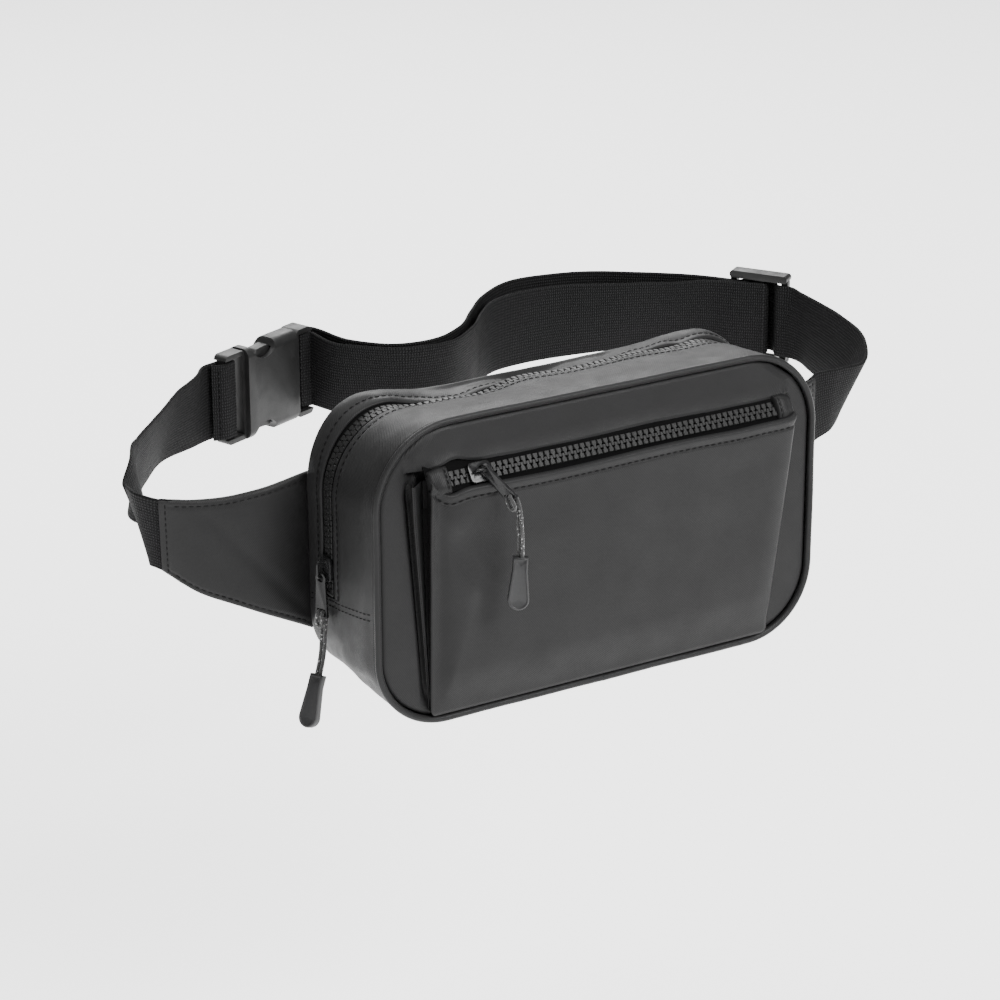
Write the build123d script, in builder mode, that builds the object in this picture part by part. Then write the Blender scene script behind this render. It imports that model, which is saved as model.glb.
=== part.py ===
from build123d import *
import os
from math import asin, cos, degrees, pi, radians, sin, tan

# Waist pack, worn position: the belt stands open as the loop that goes round a waist.
# +X is to the right seen from the front, +Y points at the wearer, +Z is up.
# The origin is on the outer face of the back panel, level with the middle of the front panel.
# "Height over the back" means the distance in front of the back panel, along -Y.

# ---- driving dimensions, mm ----
WIDTH = 230.0
HEIGHT = 141.0
DEPTH = 64.0
CORNER_TOP = 38.5
CORNER_BOTTOM = 35.0
TOP_SAG = 7.5          # the top falls this much from the front edge to the back edge
BOTTOM_RISE = 3.0
CLOTH = 1.2            # coated fabric with its lining
CLEAR = 0.3            # running clearance between moving pieces

PIPING_R = 1.65
PIPING_CORE_R = 0.9
GUSSET_INSET = 0.8     # gusset face inside the outer edge of the piping
ROLL_INSET = 4.5       # how far the rear gusset rolls in over the back
ROLL_DEPTH = 4.5

ZIP_HEIGHT = 21.0      # main zip, height over the back
ZIP_GAP = 10.0         # between the folded fabric edges on each side of the chain
TOOTH_PITCH = 3.0
TOOTH_LENGTH = 1.5
TOOTH_THICK = 2.4
TOOTH_REACH = 3.0
CHANNEL = 1.0          # way between the two rows for the slider's post
TAPE_THICK = 0.6
TAPE_WIDTH = 8.5
SEAM_Z = -20.0         # side seam under the ends of the main zip
SEAM_RISE = 8.0        # how much it climbs from the zip to the piping

POCKET_TOP_HALF = 97.0
POCKET_BOTTOM_HALF = 89.0
POCKET_TOP_Z = 40.0
POCKET_BOTTOM_Z = -66.5
POCKET_LIFT = 10.0     # front of the pocket over the front panel at the lip
POCKET_ZIP_Y = -70.5
POCKET_ZIP_Z = 45.0
POCKET_ZIP_TILT = 35.0
POCKET_ZIP_LEFT = -84.0
POCKET_ZIP_RIGHT = 87.0

WEB_WIDTH = 38.0
WEB_THICK = 1.5

SLIDER_LENGTH = 11.0
SLIDER_WIDTH = 9.0
SLIDER_PLATE = 1.4
SLIDER_GAP = 3.0
ARCH_HALF = 3.6
ARCH_HEIGHT = 3.9      # centre line of the arch over the outer plate
ARCH_R = 0.65

TAB_THICK = 1.2
TAB_TOP_R = 2.7
TAB_HOLE_R = 1.7
TAB_BAR_DROP = 17.5    # from the middle of the tab's ring to the bar that the cord hangs on
TAB_BAR_R = 0.8
TAB_END_HALF = 3.2
TAB_TWIST = 25.0       # the main tab hangs turned this much towards the front

CORD_D = 1.7
GRIP_LENGTH = 24.0

MAIN_SLIDER_Z = -6.0
POCKET_SLIDER_X = -67.0

FOAM = 4.0


def write(part, name):
    """Label one finished piece and write its STEP file."""
    part.label = name
    export_step(part, f"parts/{name}.step")


os.makedirs("parts", exist_ok=True)

# ---- bag shell ----


def outline(height, inset):
    """Rounded outline of the bag at a height over the back, drawn in from the widest line."""
    fall = 1 - height / DEPTH
    top = HEIGHT / 2 - TOP_SAG * fall - inset
    bottom = -HEIGHT / 2 + BOTTOM_RISE * fall + inset
    with BuildSketch(Plane.XZ.offset(height)) as section:
        with Locations((0, (top + bottom) / 2)):
            Rectangle(WIDTH - 2 * inset, top - bottom)
        fillet(section.vertices().group_by(Axis.Y)[-1], CORNER_TOP - inset)
        fillet(section.vertices().group_by(Axis.Y)[0], CORNER_BOTTOM - inset)
    return section.sketch


def ring(low, high, outer, inner):
    """Wall between two insets, from one height over the back to another."""
    loft([outline(low, outer), outline(high, outer)], ruled=True)
    loft([outline(low, inner), outline(high, inner)], ruled=True, mode=Mode.SUBTRACT)


def rolled_ring(high):
    """Gusset wall with its rear edge rolled in over the back."""
    steps = ((0, ROLL_INSET), (ROLL_DEPTH / 3, ROLL_INSET / 3), (ROLL_DEPTH, 0), (high, 0))
    loft([outline(height, GUSSET_INSET + inset) for height, inset in steps], ruled=True)
    lining = [outline(height, GUSSET_INSET + CLOTH + inset) for height, inset in steps]
    loft(lining, ruled=True, mode=Mode.SUBTRACT)


SEAM_PLANE = Plane(
    origin=(0, -ZIP_HEIGHT, SEAM_Z),
    x_dir=(1, 0, 0),
    z_dir=(0, SEAM_RISE, DEPTH - ZIP_HEIGHT),
)
GUSSET_FRONT = DEPTH - PIPING_R - 0.15

with BuildPart() as back_panel:
    extrude(outline(0, GUSSET_INSET + ROLL_INSET + CLOTH + 0.1), amount=CLOTH)
write(back_panel.part, "back_panel")

with BuildPart() as back_foam:
    extrude(outline(CLOTH + 0.1, GUSSET_INSET + ROLL_INSET + CLOTH + 2), amount=FOAM)
write(back_foam.part, "back_foam")

with BuildPart() as front_panel:
    extrude(outline(DEPTH - CLOTH, 2 * PIPING_R + 0.1), amount=CLOTH)
write(front_panel.part, "front_panel")

with BuildPart() as rear_gusset:
    rolled_ring(ZIP_HEIGHT - ZIP_GAP / 2)
    split(bisect_by=SEAM_PLANE, keep=Keep.TOP)
write(rear_gusset.part, "rear_gusset")

with BuildPart() as front_gusset:
    ring(ZIP_HEIGHT + ZIP_GAP / 2, GUSSET_FRONT, GUSSET_INSET, GUSSET_INSET + CLOTH)
    split(bisect_by=SEAM_PLANE, keep=Keep.TOP)
write(front_gusset.part, "front_gusset")

with BuildPart() as bottom_gusset:
    rolled_ring(GUSSET_FRONT)
    split(bisect_by=SEAM_PLANE, keep=Keep.BOTTOM)
write(bottom_gusset.part, "bottom_gusset")


def piping_path():
    """Closed centre line of the piping."""
    with BuildLine(Plane.XZ.offset(DEPTH)) as path:
        FilletPolyline(
            (0, -HEIGHT / 2 + PIPING_R),
            (WIDTH / 2 - PIPING_R, -HEIGHT / 2 + PIPING_R),
            (WIDTH / 2 - PIPING_R, HEIGHT / 2 - PIPING_R),
            (-WIDTH / 2 + PIPING_R, HEIGHT / 2 - PIPING_R),
            (-WIDTH / 2 + PIPING_R, -HEIGHT / 2 + PIPING_R),
            (-0.5, -HEIGHT / 2 + PIPING_R),
            radius=[corner - PIPING_R for corner in (CORNER_BOTTOM, CORNER_TOP, CORNER_TOP, CORNER_BOTTOM)],
        )
    return path.line


PIPING_LINE = piping_path()

with BuildPart() as piping_cover:
    with BuildSketch(Plane(origin=PIPING_LINE @ 0, z_dir=PIPING_LINE % 0)):
        Circle(PIPING_R)
        Circle(PIPING_CORE_R + 0.02, mode=Mode.SUBTRACT)
    sweep(path=PIPING_LINE)
write(piping_cover.part, "piping_cover")

with BuildPart() as piping_core:
    with BuildSketch(Plane(origin=PIPING_LINE @ 0, z_dir=PIPING_LINE % 0)):
        Circle(PIPING_CORE_R)
    sweep(path=PIPING_LINE)
write(piping_core.part, "piping_core")

# ---- main zip: up the left side, across the top and down the right side ----

TAPE_INSET = GUSSET_INSET + CLOTH
TOOTH_INSET = TAPE_INSET + TAPE_THICK / 2
ZIP_X = WIDTH / 2 - TOOTH_INSET
ZIP_TOP = HEIGHT / 2 - TOP_SAG * (1 - ZIP_HEIGHT / DEPTH) - TOOTH_INSET
ZIP_R = CORNER_TOP - TOOTH_INSET
ZIP_BOTTOM = SEAM_Z + 1.5
ZIP_SIDE = ZIP_TOP - ZIP_R - ZIP_BOTTOM
ZIP_ARC = ZIP_R * pi / 2
ZIP_ACROSS = 2 * (ZIP_X - ZIP_R)
ZIP_LENGTH = 2 * ZIP_SIDE + 2 * ZIP_ARC + ZIP_ACROSS
TOOTH_COUNT = int(ZIP_LENGTH / TOOTH_PITCH)


def zip_point(s):
    """Place along the main zip, from its lower left end: x, z and the direction of the run."""
    if s < ZIP_SIDE:
        return -ZIP_X, ZIP_BOTTOM + s, 90
    s -= ZIP_SIDE
    if s < ZIP_ARC:
        turn = s / ZIP_R
        return -ZIP_X + ZIP_R * (1 - cos(turn)), ZIP_TOP - ZIP_R * (1 - sin(turn)), 90 - degrees(turn)
    s -= ZIP_ARC
    if s < ZIP_ACROSS:
        return -ZIP_X + ZIP_R + s, ZIP_TOP, 0
    s -= ZIP_ACROSS
    if s < ZIP_ARC:
        turn = s / ZIP_R
        return ZIP_X - ZIP_R * (1 - sin(turn)), ZIP_TOP - ZIP_R * (1 - cos(turn)), -degrees(turn)
    s -= ZIP_ARC
    return ZIP_X, ZIP_TOP - ZIP_R - s, -90


def main_teeth(height, shift):
    """One row of moulded teeth, a separate solid for each tooth."""
    with BuildSketch(Plane.XZ.offset(height)) as row:
        for tooth in range(TOOTH_COUNT - 1):
            x, z, turn = zip_point((tooth + shift) * TOOTH_PITCH)
            with Locations(Location((x, z, 0), (0, 0, turn))):
                Rectangle(TOOTH_LENGTH, TOOTH_THICK)
    extrude(row.sketch, amount=TOOTH_REACH)


with BuildPart() as main_zip_teeth_front:
    main_teeth(ZIP_HEIGHT + CHANNEL / 2, 0.75)
write(main_zip_teeth_front.part, "main_zip_teeth_front")

with BuildPart() as main_zip_teeth_rear:
    main_teeth(ZIP_HEIGHT - CHANNEL / 2 - TOOTH_REACH, 1.25)
write(main_zip_teeth_rear.part, "main_zip_teeth_rear")

TAPE_EDGE = CHANNEL / 2 + TOOTH_REACH

with BuildPart() as main_zip_tape_front:
    ring(ZIP_HEIGHT + TAPE_EDGE, ZIP_HEIGHT + TAPE_EDGE + TAPE_WIDTH, TAPE_INSET, TAPE_INSET + TAPE_THICK)
    split(bisect_by=SEAM_PLANE, keep=Keep.TOP)
write(main_zip_tape_front.part, "main_zip_tape_front")

with BuildPart() as main_zip_tape_rear:
    ring(ZIP_HEIGHT - TAPE_EDGE - TAPE_WIDTH, ZIP_HEIGHT - TAPE_EDGE, TAPE_INSET, TAPE_INSET + TAPE_THICK)
    split(bisect_by=SEAM_PLANE, keep=Keep.TOP)
write(main_zip_tape_rear.part, "main_zip_tape_rear")

STOP_LENGTH = 2.0
for side, name in ((-1, "main_zip_stop_left"), (1, "main_zip_stop_right")):
    with BuildPart() as main_zip_stop:
        with BuildSketch(Plane.XZ.offset(ZIP_HEIGHT - CHANNEL / 2 - TOOTH_REACH)):
            with Locations((side * ZIP_X, ZIP_BOTTOM + 0.4)):
                Rectangle(TOOTH_THICK, STOP_LENGTH)
        extrude(amount=2 * TOOTH_REACH + CHANNEL)
    write(main_zip_stop.part, name)

# ---- front pocket ----

POCKET_BASE_Y = -DEPTH - 1.3
POCKET_FRONT_Y = -DEPTH - POCKET_LIFT
POCKET_RUN = POCKET_TOP_Z - POCKET_BOTTOM_Z
POCKET_DROP = POCKET_BASE_Y - POCKET_FRONT_Y
POCKET_LENGTH = (POCKET_RUN**2 + POCKET_DROP**2) ** 0.5
POCKET_PLANE = Plane(
    origin=(0, POCKET_BASE_Y, POCKET_BOTTOM_Z),
    x_dir=(1, 0, 0),
    z_dir=(0, -POCKET_RUN, -POCKET_DROP),
)
POCKET_CORNER = 4.0

with BuildPart() as pocket_panel:
    with BuildSketch(POCKET_PLANE) as face:
        with BuildLine():
            Polyline(
                (-POCKET_BOTTOM_HALF, 0),
                (POCKET_BOTTOM_HALF, 0),
                (POCKET_TOP_HALF, POCKET_LENGTH),
                (-POCKET_TOP_HALF, POCKET_LENGTH),
                close=True,
            )
        make_face()
        fillet(face.vertices().group_by(Axis.Y)[0], POCKET_CORNER)
    extrude(amount=CLOTH)
write(pocket_panel.part, "pocket_panel")

SIDE_LEAN = asin((POCKET_TOP_HALF - POCKET_BOTTOM_HALF) / POCKET_RUN)
for side, name in ((-1, "pocket_gusset_left"), (1, "pocket_gusset_right")):
    with BuildPart() as pocket_gusset:
        wall = Plane(
            origin=(side * (POCKET_BOTTOM_HALF - 1.5), -DEPTH - 0.1, POCKET_BOTTOM_Z),
            x_dir=(side * sin(SIDE_LEAN), 0, cos(SIDE_LEAN)),
            z_dir=(-side * cos(SIDE_LEAN), 0, sin(SIDE_LEAN)),
        )
        start = POCKET_CORNER + 6
        rise = POCKET_DROP / POCKET_RUN
        with BuildSketch(wall):
            with BuildLine():
                Polyline(
                    (start, 0),
                    (POCKET_RUN, 0),
                    (POCKET_RUN, -side * (1.0 + rise * POCKET_RUN)),
                    (start, -side * (1.0 + rise * start)),
                    close=True,
                )
            make_face()
        extrude(amount=1.0)
    write(pocket_gusset.part, name)

TILT = radians(POCKET_ZIP_TILT)
ZIP_OUT = Vector(0, -cos(TILT), sin(TILT))
ZIP_DOWN = Vector(0, -sin(TILT), -cos(TILT))
POCKET_ZIP_CENTRE = Vector(0, POCKET_ZIP_Y, POCKET_ZIP_Z)
POCKET_ZIP_PLANE = Plane(origin=POCKET_ZIP_CENTRE, x_dir=(1, 0, 0), z_dir=ZIP_OUT)
POCKET_TOOTH_COUNT = int((POCKET_ZIP_RIGHT - POCKET_ZIP_LEFT) / TOOTH_PITCH)
UPPER_TAPE = 6.5
LOWER_TAPE = 2.1
TAPE_PAST_TEETH = 9.0


def pocket_teeth(low, shift):
    """One row of the pocket zip's teeth, from a distance up the tape."""
    with BuildSketch(POCKET_ZIP_PLANE.offset(-TOOTH_THICK / 2)) as row:
        for tooth in range(POCKET_TOOTH_COUNT):
            with Locations((POCKET_ZIP_LEFT + (tooth + shift) * TOOTH_PITCH, low + TOOTH_REACH / 2)):
                Rectangle(TOOTH_LENGTH, TOOTH_REACH)
    extrude(row.sketch, amount=TOOTH_THICK)


def pocket_tape(low, high):
    """One tape of the pocket zip between two distances up the tape."""
    middle = (POCKET_ZIP_LEFT + POCKET_ZIP_RIGHT) / 2
    length = POCKET_ZIP_RIGHT - POCKET_ZIP_LEFT + 2 * TAPE_PAST_TEETH
    with BuildSketch(POCKET_ZIP_PLANE.offset(-TAPE_THICK / 2)) as strip:
        with Locations((middle, (low + high) / 2)):
            Rectangle(length, high - low)
    extrude(strip.sketch, amount=TAPE_THICK)


with BuildPart() as pocket_zip_teeth_upper:
    pocket_teeth(CHANNEL / 2, 0.25)
write(pocket_zip_teeth_upper.part, "pocket_zip_teeth_upper")

with BuildPart() as pocket_zip_teeth_lower:
    pocket_teeth(-CHANNEL / 2 - TOOTH_REACH, 0.75)
write(pocket_zip_teeth_lower.part, "pocket_zip_teeth_lower")

with BuildPart() as pocket_zip_tape_upper:
    pocket_tape(TAPE_EDGE, TAPE_EDGE + UPPER_TAPE)
write(pocket_zip_tape_upper.part, "pocket_zip_tape_upper")

with BuildPart() as pocket_zip_tape_lower:
    pocket_tape(-TAPE_EDGE - LOWER_TAPE, -TAPE_EDGE)
write(pocket_zip_tape_lower.part, "pocket_zip_tape_lower")

END_TAB_LENGTH = 8.0
END_TAB_WIDTH = 12.0
END_TAB_X = (POCKET_ZIP_LEFT - 1 - END_TAB_LENGTH / 2, POCKET_ZIP_RIGHT + 1 + END_TAB_LENGTH / 2)
for x, name in zip(END_TAB_X, ("pocket_zip_end_tab_left", "pocket_zip_end_tab_right")):
    with BuildPart() as pocket_zip_end_tab:
        with BuildSketch(POCKET_ZIP_PLANE.offset(TAPE_THICK / 2 + 0.05)):
            with Locations((x, 0)):
                RectangleRounded(END_TAB_LENGTH, END_TAB_WIDTH, 1.5)
        extrude(amount=CLOTH)
    write(pocket_zip_end_tab.part, name)

# ---- zip sliders ----


def slider_body(base):
    """Slider on a chain: base is the chain's middle, x along the run and z outwards."""
    for sign in (-1, 1):
        with BuildSketch(base.offset(sign * SLIDER_GAP / 2)) as plate:
            RectangleRounded(SLIDER_LENGTH, SLIDER_WIDTH, 2.2)
        extrude(plate.sketch, amount=sign * SLIDER_PLATE)
        slot = TAPE_THICK / 2 + CLEAR
        with BuildSketch(base.offset(sign * slot)) as flanges:
            with GridLocations(0, SLIDER_WIDTH - 0.8, 1, 2):
                Rectangle(SLIDER_LENGTH - 4.4, 0.8)
        extrude(flanges.sketch, amount=sign * (SLIDER_GAP / 2 - slot))
    with BuildSketch(base.offset(-SLIDER_GAP / 2)) as post:
        with Locations((-SLIDER_LENGTH / 2 + 2.6, 0)):
            Rectangle(2.4, CHANNEL - 2 * 0.2)
    extrude(post.sketch, amount=SLIDER_GAP)
    foot = SLIDER_GAP / 2 + SLIDER_PLATE - 0.4
    crown = SLIDER_GAP / 2 + SLIDER_PLATE + ARCH_HEIGHT
    upright = Plane(origin=base.origin, x_dir=base.x_dir, z_dir=base.y_dir * -1)
    with BuildLine(upright) as arch:
        FilletPolyline(
            (-ARCH_HALF, foot),
            (-ARCH_HALF, crown),
            (ARCH_HALF, crown),
            (ARCH_HALF, foot),
            radius=1.2,
        )
    with BuildSketch(Plane(origin=arch.line @ 0, z_dir=arch.line % 0)) as rod:
        Circle(ARCH_R)
    sweep(rod.sketch, path=arch.line)


def pull_tab(plate, ring_drop):
    """Flat pull tab: plate is its middle plane, y up along it, with the ring ring_drop under the origin."""
    bar = -ring_drop - TAB_BAR_DROP
    with BuildSketch(plate) as blank:
        with Locations((0, -ring_drop)):
            Circle(TAB_TOP_R)
        with BuildLine():
            Polyline(
                (-TAB_TOP_R + 0.3, -ring_drop),
                (TAB_TOP_R - 0.3, -ring_drop),
                (TAB_END_HALF, bar),
                (-TAB_END_HALF, bar),
                close=True,
            )
        make_face()
        with Locations((0, -ring_drop)):
            Circle(TAB_HOLE_R, mode=Mode.SUBTRACT)
        with Locations((0, bar + 1.6)):
            Rectangle(4.2, 3.2, mode=Mode.SUBTRACT)
    extrude(blank.sketch, amount=TAB_THICK / 2, both=True)
    bar_end = plate.from_local_coords((-TAB_END_HALF, bar, 0))
    with BuildSketch(Plane(origin=bar_end, z_dir=plate.x_dir)) as rod:
        Circle(TAB_BAR_R)
    extrude(rod.sketch, amount=2 * TAB_END_HALF)


MAIN_BASE = Plane(origin=(-ZIP_X, -ZIP_HEIGHT, MAIN_SLIDER_Z), x_dir=(0, 0, 1), z_dir=(-1, 0, 0))
PLATE_FACE = SLIDER_GAP / 2 + SLIDER_PLATE
TWIST = radians(TAB_TWIST)
MAIN_BAR_DIR = Vector(sin(TWIST), -cos(TWIST), 0)
MAIN_PIVOT = Vector(-ZIP_X - PLATE_FACE - 2.1, -ZIP_HEIGHT, MAIN_SLIDER_Z - ARCH_HALF + 1.75)
MAIN_RING_DROP = 2.2
MAIN_TAB_PLANE = Plane(origin=MAIN_PIVOT, x_dir=MAIN_BAR_DIR, z_dir=Vector(0, 0, -1).cross(MAIN_BAR_DIR))

with BuildPart() as main_slider:
    slider_body(MAIN_BASE)
write(main_slider.part, "main_slider")

with BuildPart() as main_pull_tab:
    pull_tab(MAIN_TAB_PLANE, MAIN_RING_DROP)
write(main_pull_tab.part, "main_pull_tab")

POCKET_BASE = Plane(
    origin=POCKET_ZIP_CENTRE + Vector(POCKET_SLIDER_X, 0, 0),
    x_dir=(1, 0, 0),
    z_dir=ZIP_OUT,
)
POCKET_PIVOT = POCKET_BASE.origin + ZIP_OUT * (PLATE_FACE + ARCH_HEIGHT)
POCKET_TAB_DIR = Vector(0.51, -0.44, -0.735).normalized()
POCKET_TAB_FACE = Vector(0.83, 0.47, 0.29)
POCKET_TAB_FACE = (POCKET_TAB_FACE - POCKET_TAB_DIR * POCKET_TAB_FACE.dot(POCKET_TAB_DIR)).normalized()
POCKET_BAR_DIR = POCKET_TAB_FACE.cross(POCKET_TAB_DIR)
POCKET_TAB_PLANE = Plane(origin=POCKET_PIVOT, x_dir=POCKET_BAR_DIR, z_dir=POCKET_TAB_FACE)

with BuildPart() as pocket_slider:
    slider_body(POCKET_BASE)
write(pocket_slider.part, "pocket_slider")

with BuildPart() as pocket_pull_tab:
    pull_tab(POCKET_TAB_PLANE, 0)
write(pocket_pull_tab.part, "pocket_pull_tab")

# ---- pull cords and grips ----

DOWN = Vector(0, 0, -1)


def cord_radii(points):
    """Bend radius at each inner point: 0.45 of the shorter run over the tangent of half the turn."""
    radii = []
    for before, here, after in zip(points, points[1:], points[2:]):
        first = here - before
        second = after - here
        half_turn = radians(first.get_angle(second)) / 2
        radii.append(0.45 * min(first.length, second.length) / tan(half_turn))
    return radii


def cord_tube(points, name):
    """Tube of the cord's own diameter along straight runs joined by tangent arcs."""
    radii = cord_radii(points)
    with BuildLine() as route:
        FilletPolyline(*points, radius=radii)
    path = route.wire()
    with BuildSketch(Plane(origin=path @ 0, z_dir=path % 0)) as section:
        Circle(CORD_D / 2)
    sweep(section.sketch, path=path)
    print(name, "length", round(path.length, 1), "radii", [round(r, 1) for r in radii])


def grip(top, axis, across):
    """Moulded grip: top is the middle of its upper face, axis points down it, across along its width."""
    across = (across - axis * across.dot(axis)).normalized()
    face = Plane(origin=top, x_dir=across, z_dir=axis.cross(across))
    with BuildSketch(face) as profile:
        with Locations((0, -3)):
            Rectangle(6.6, 6)
        with Locations((0, -GRIP_LENGTH + 4.7)):
            Circle(4.7)
        make_hull()
    extrude(profile.sketch, amount=2.1, both=True)


# each leg as (along the bar, outwards, down) from the middle of the tab's bar
HITCH = ((0.95, -1.2, 5.2), (0.95, -1.95, -1.95), (1.05, 1.95, -1.95), (1.9, 1.95, 4.7))
MAIN_LEG = ((0.95, 3.6, 27.3), (0.95, 0.5, 20.0), (0.95, -0.3, 12.5))

MAIN_BAR = MAIN_TAB_PLANE.from_local_coords((0, -MAIN_RING_DROP - TAB_BAR_DROP, 0))
MAIN_OUT = MAIN_TAB_PLANE.z_dir


def doubled_route(bar, along, out, down, leg):
    """Points of a doubled cord: up one leg, round the bar, and down the other leg."""
    other = [(-a, o, d) for a, o, d in reversed(leg)]
    return [bar + along * a + out * o + down * d for a, o, d in list(leg) + other]


MAIN_ROUTE = doubled_route(MAIN_BAR, MAIN_BAR_DIR, MAIN_OUT, DOWN, MAIN_LEG + HITCH)
MAIN_GRIP_AXIS = (DOWN * (27.3 - 20.0) + MAIN_OUT * (3.6 - 0.5)).normalized()

with BuildPart() as main_pull_cord:
    cord_tube(MAIN_ROUTE, "main_pull_cord")
write(main_pull_cord.part, "main_pull_cord")

with BuildPart() as main_pull_grip:
    grip((MAIN_ROUTE[0] + MAIN_ROUTE[-1]) * 0.5, MAIN_GRIP_AXIS, MAIN_BAR_DIR)
write(main_pull_grip.part, "main_pull_grip")

POCKET_BAR = POCKET_TAB_PLANE.from_local_coords((0, -TAB_BAR_DROP, 0))
POCKET_CORD_DOWN = (DOWN - POCKET_BAR_DIR * DOWN.dot(POCKET_BAR_DIR)).normalized()
POCKET_OUT = POCKET_BAR_DIR.cross(POCKET_CORD_DOWN)
# under the hitch the legs hang straight down, side by side
POCKET_HANG = POCKET_BAR + POCKET_CORD_DOWN * 8.0
POCKET_SIDE = DOWN.cross(POCKET_OUT).normalized()
POCKET_LEG = ((0.95, 0.0, 19.0), (0.95, -0.5, 12.5), (0.95, 0.2, 6.0))
POCKET_NEAR = [POCKET_HANG + POCKET_SIDE * a + POCKET_OUT * o + DOWN * d for a, o, d in POCKET_LEG]
POCKET_FAR = [POCKET_HANG - POCKET_SIDE * a + POCKET_OUT * o + DOWN * d for a, o, d in reversed(POCKET_LEG)]
POCKET_LOOP = doubled_route(POCKET_BAR, POCKET_BAR_DIR, POCKET_OUT, POCKET_CORD_DOWN, HITCH)
POCKET_ROUTE = POCKET_NEAR + POCKET_LOOP + POCKET_FAR
POCKET_GRIP_AXIS = (POCKET_ROUTE[0] - POCKET_ROUTE[1]).normalized()

with BuildPart() as pocket_pull_cord:
    cord_tube(POCKET_ROUTE, "pocket_pull_cord")
write(pocket_pull_cord.part, "pocket_pull_cord")

with BuildPart() as pocket_pull_grip:
    grip((POCKET_ROUTE[0] + POCKET_ROUTE[-1]) * 0.5, POCKET_GRIP_AXIS, Vector(0.86, -0.5, 0))
write(pocket_pull_grip.part, "pocket_pull_grip")

# ---- hardware on the belt ----

BELT_Z = 17.0
BUCKLE_ANGLE = 22.0
BUCKLE_PLANE = Plane(
    origin=(-56, 152, BELT_Z),
    x_dir=(cos(radians(BUCKLE_ANGLE)), sin(radians(BUCKLE_ANGLE)), 0),
    z_dir=(sin(radians(BUCKLE_ANGLE)), -cos(radians(BUCKLE_ANGLE)), 0),
)
BUCKLE_HEIGHT = 46.0
BUCKLE_THICK = 13.0
BODY_LEFT = -17.5
BODY_RIGHT = 18.5
BUCKLE_END = 31.0
SLOT_HEIGHT = 40.0
BAR_HALF = 2.0


def slab(plane, left, right, height, thick, corner=0.0, mode=Mode.ADD):
    """Block centred on the plane, between two places along its x axis."""
    with BuildSketch(plane) as face:
        with Locations(((left + right) / 2, 0)):
            if corner:
                RectangleRounded(right - left, height, corner)
            else:
                Rectangle(right - left, height)
    extrude(face.sketch, amount=thick / 2, both=True, mode=mode)


def bar_relief(plane, left, right):
    """Thin the crossbar, so that both layers of strap fit inside the frame."""
    for sign in (-1, 1):
        with BuildSketch(plane.offset(sign * BAR_HALF)) as relief:
            with Locations(((left + right) / 2, 0)):
                Rectangle(right - left, SLOT_HEIGHT)
        extrude(relief.sketch, amount=sign * 6, mode=Mode.SUBTRACT)


with BuildPart() as buckle_female:
    body_end = Plane(
        origin=BUCKLE_PLANE.from_local_coords((BODY_LEFT, 0, 0)),
        x_dir=BUCKLE_PLANE.y_dir,
        z_dir=BUCKLE_PLANE.x_dir,
    )
    with BuildSketch(body_end) as body:
        RectangleRounded(BUCKLE_HEIGHT, BUCKLE_THICK, 4.5)
    extrude(body.sketch, amount=BODY_RIGHT - BODY_LEFT)
    slab(BUCKLE_PLANE, -BUCKLE_END, BODY_LEFT + 1, BUCKLE_HEIGHT - 1, 7.5, 2.5)
    slab(BUCKLE_PLANE, BODY_LEFT + 3, BODY_RIGHT + 1, SLOT_HEIGHT - 1, 8.0, mode=Mode.SUBTRACT)
    with BuildSketch(BUCKLE_PLANE) as windows:
        with Locations((-5.5, BUCKLE_HEIGHT / 2 + 1), (-5.5, -BUCKLE_HEIGHT / 2 - 1)):
            Ellipse(8.5, 8)
    extrude(windows.sketch, amount=BUCKLE_THICK, both=True, mode=Mode.SUBTRACT)
    slab(BUCKLE_PLANE, -25, -19, SLOT_HEIGHT, 10, mode=Mode.SUBTRACT)
    bar_relief(BUCKLE_PLANE, -33, -24)
write(buckle_female.part, "buckle_female")

PRONG_ROOT = 15.5
PRONG_Z = 13.0

with BuildPart() as buckle_male:
    slab(BUCKLE_PLANE, BODY_RIGHT + 0.2, BUCKLE_END, BUCKLE_HEIGHT - 1, 10.5, 3)
    slab(BUCKLE_PLANE, BODY_RIGHT + 2.5, 26, SLOT_HEIGHT, 12, mode=Mode.SUBTRACT)
    bar_relief(BUCKLE_PLANE, 25, 33)
    slab(BUCKLE_PLANE, PRONG_ROOT + 0.7, BODY_RIGHT + 1, SLOT_HEIGHT - 2, 7.0)
    slab(BUCKLE_PLANE, -9, PRONG_ROOT + 1, 8, 3, 1.2)
write(buckle_male.part, "buckle_male")

PRONG_SHAPE = ((15.5, -2), (15.5, 2), (3.5, 2.4), (0.5, 7.6), (-8, 7), (-13, 1.5), (-13, -2.5), (0, -2))
for sign, name in ((1, "buckle_prong_upper"), (-1, "buckle_prong_lower")):
    with BuildPart() as buckle_prong:
        with BuildSketch(BUCKLE_PLANE) as arm:
            with BuildLine():
                Polyline(*[(x, sign * (PRONG_Z + z)) for x, z in PRONG_SHAPE], close=True)
            make_face()
        extrude(arm.sketch, amount=3.1, both=True)
    write(buckle_prong.part, name)

TRIGLIDE_DIR = Vector(0.56, -0.83, 0).normalized()
TRIGLIDE_PLANE = Plane(
    origin=(208, 111, BELT_Z),
    x_dir=TRIGLIDE_DIR,
    z_dir=TRIGLIDE_DIR.cross(Vector(0, 0, 1)),
)
TRIGLIDE_END = 15.5
TRIGLIDE_HEIGHT = 48.0

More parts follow.
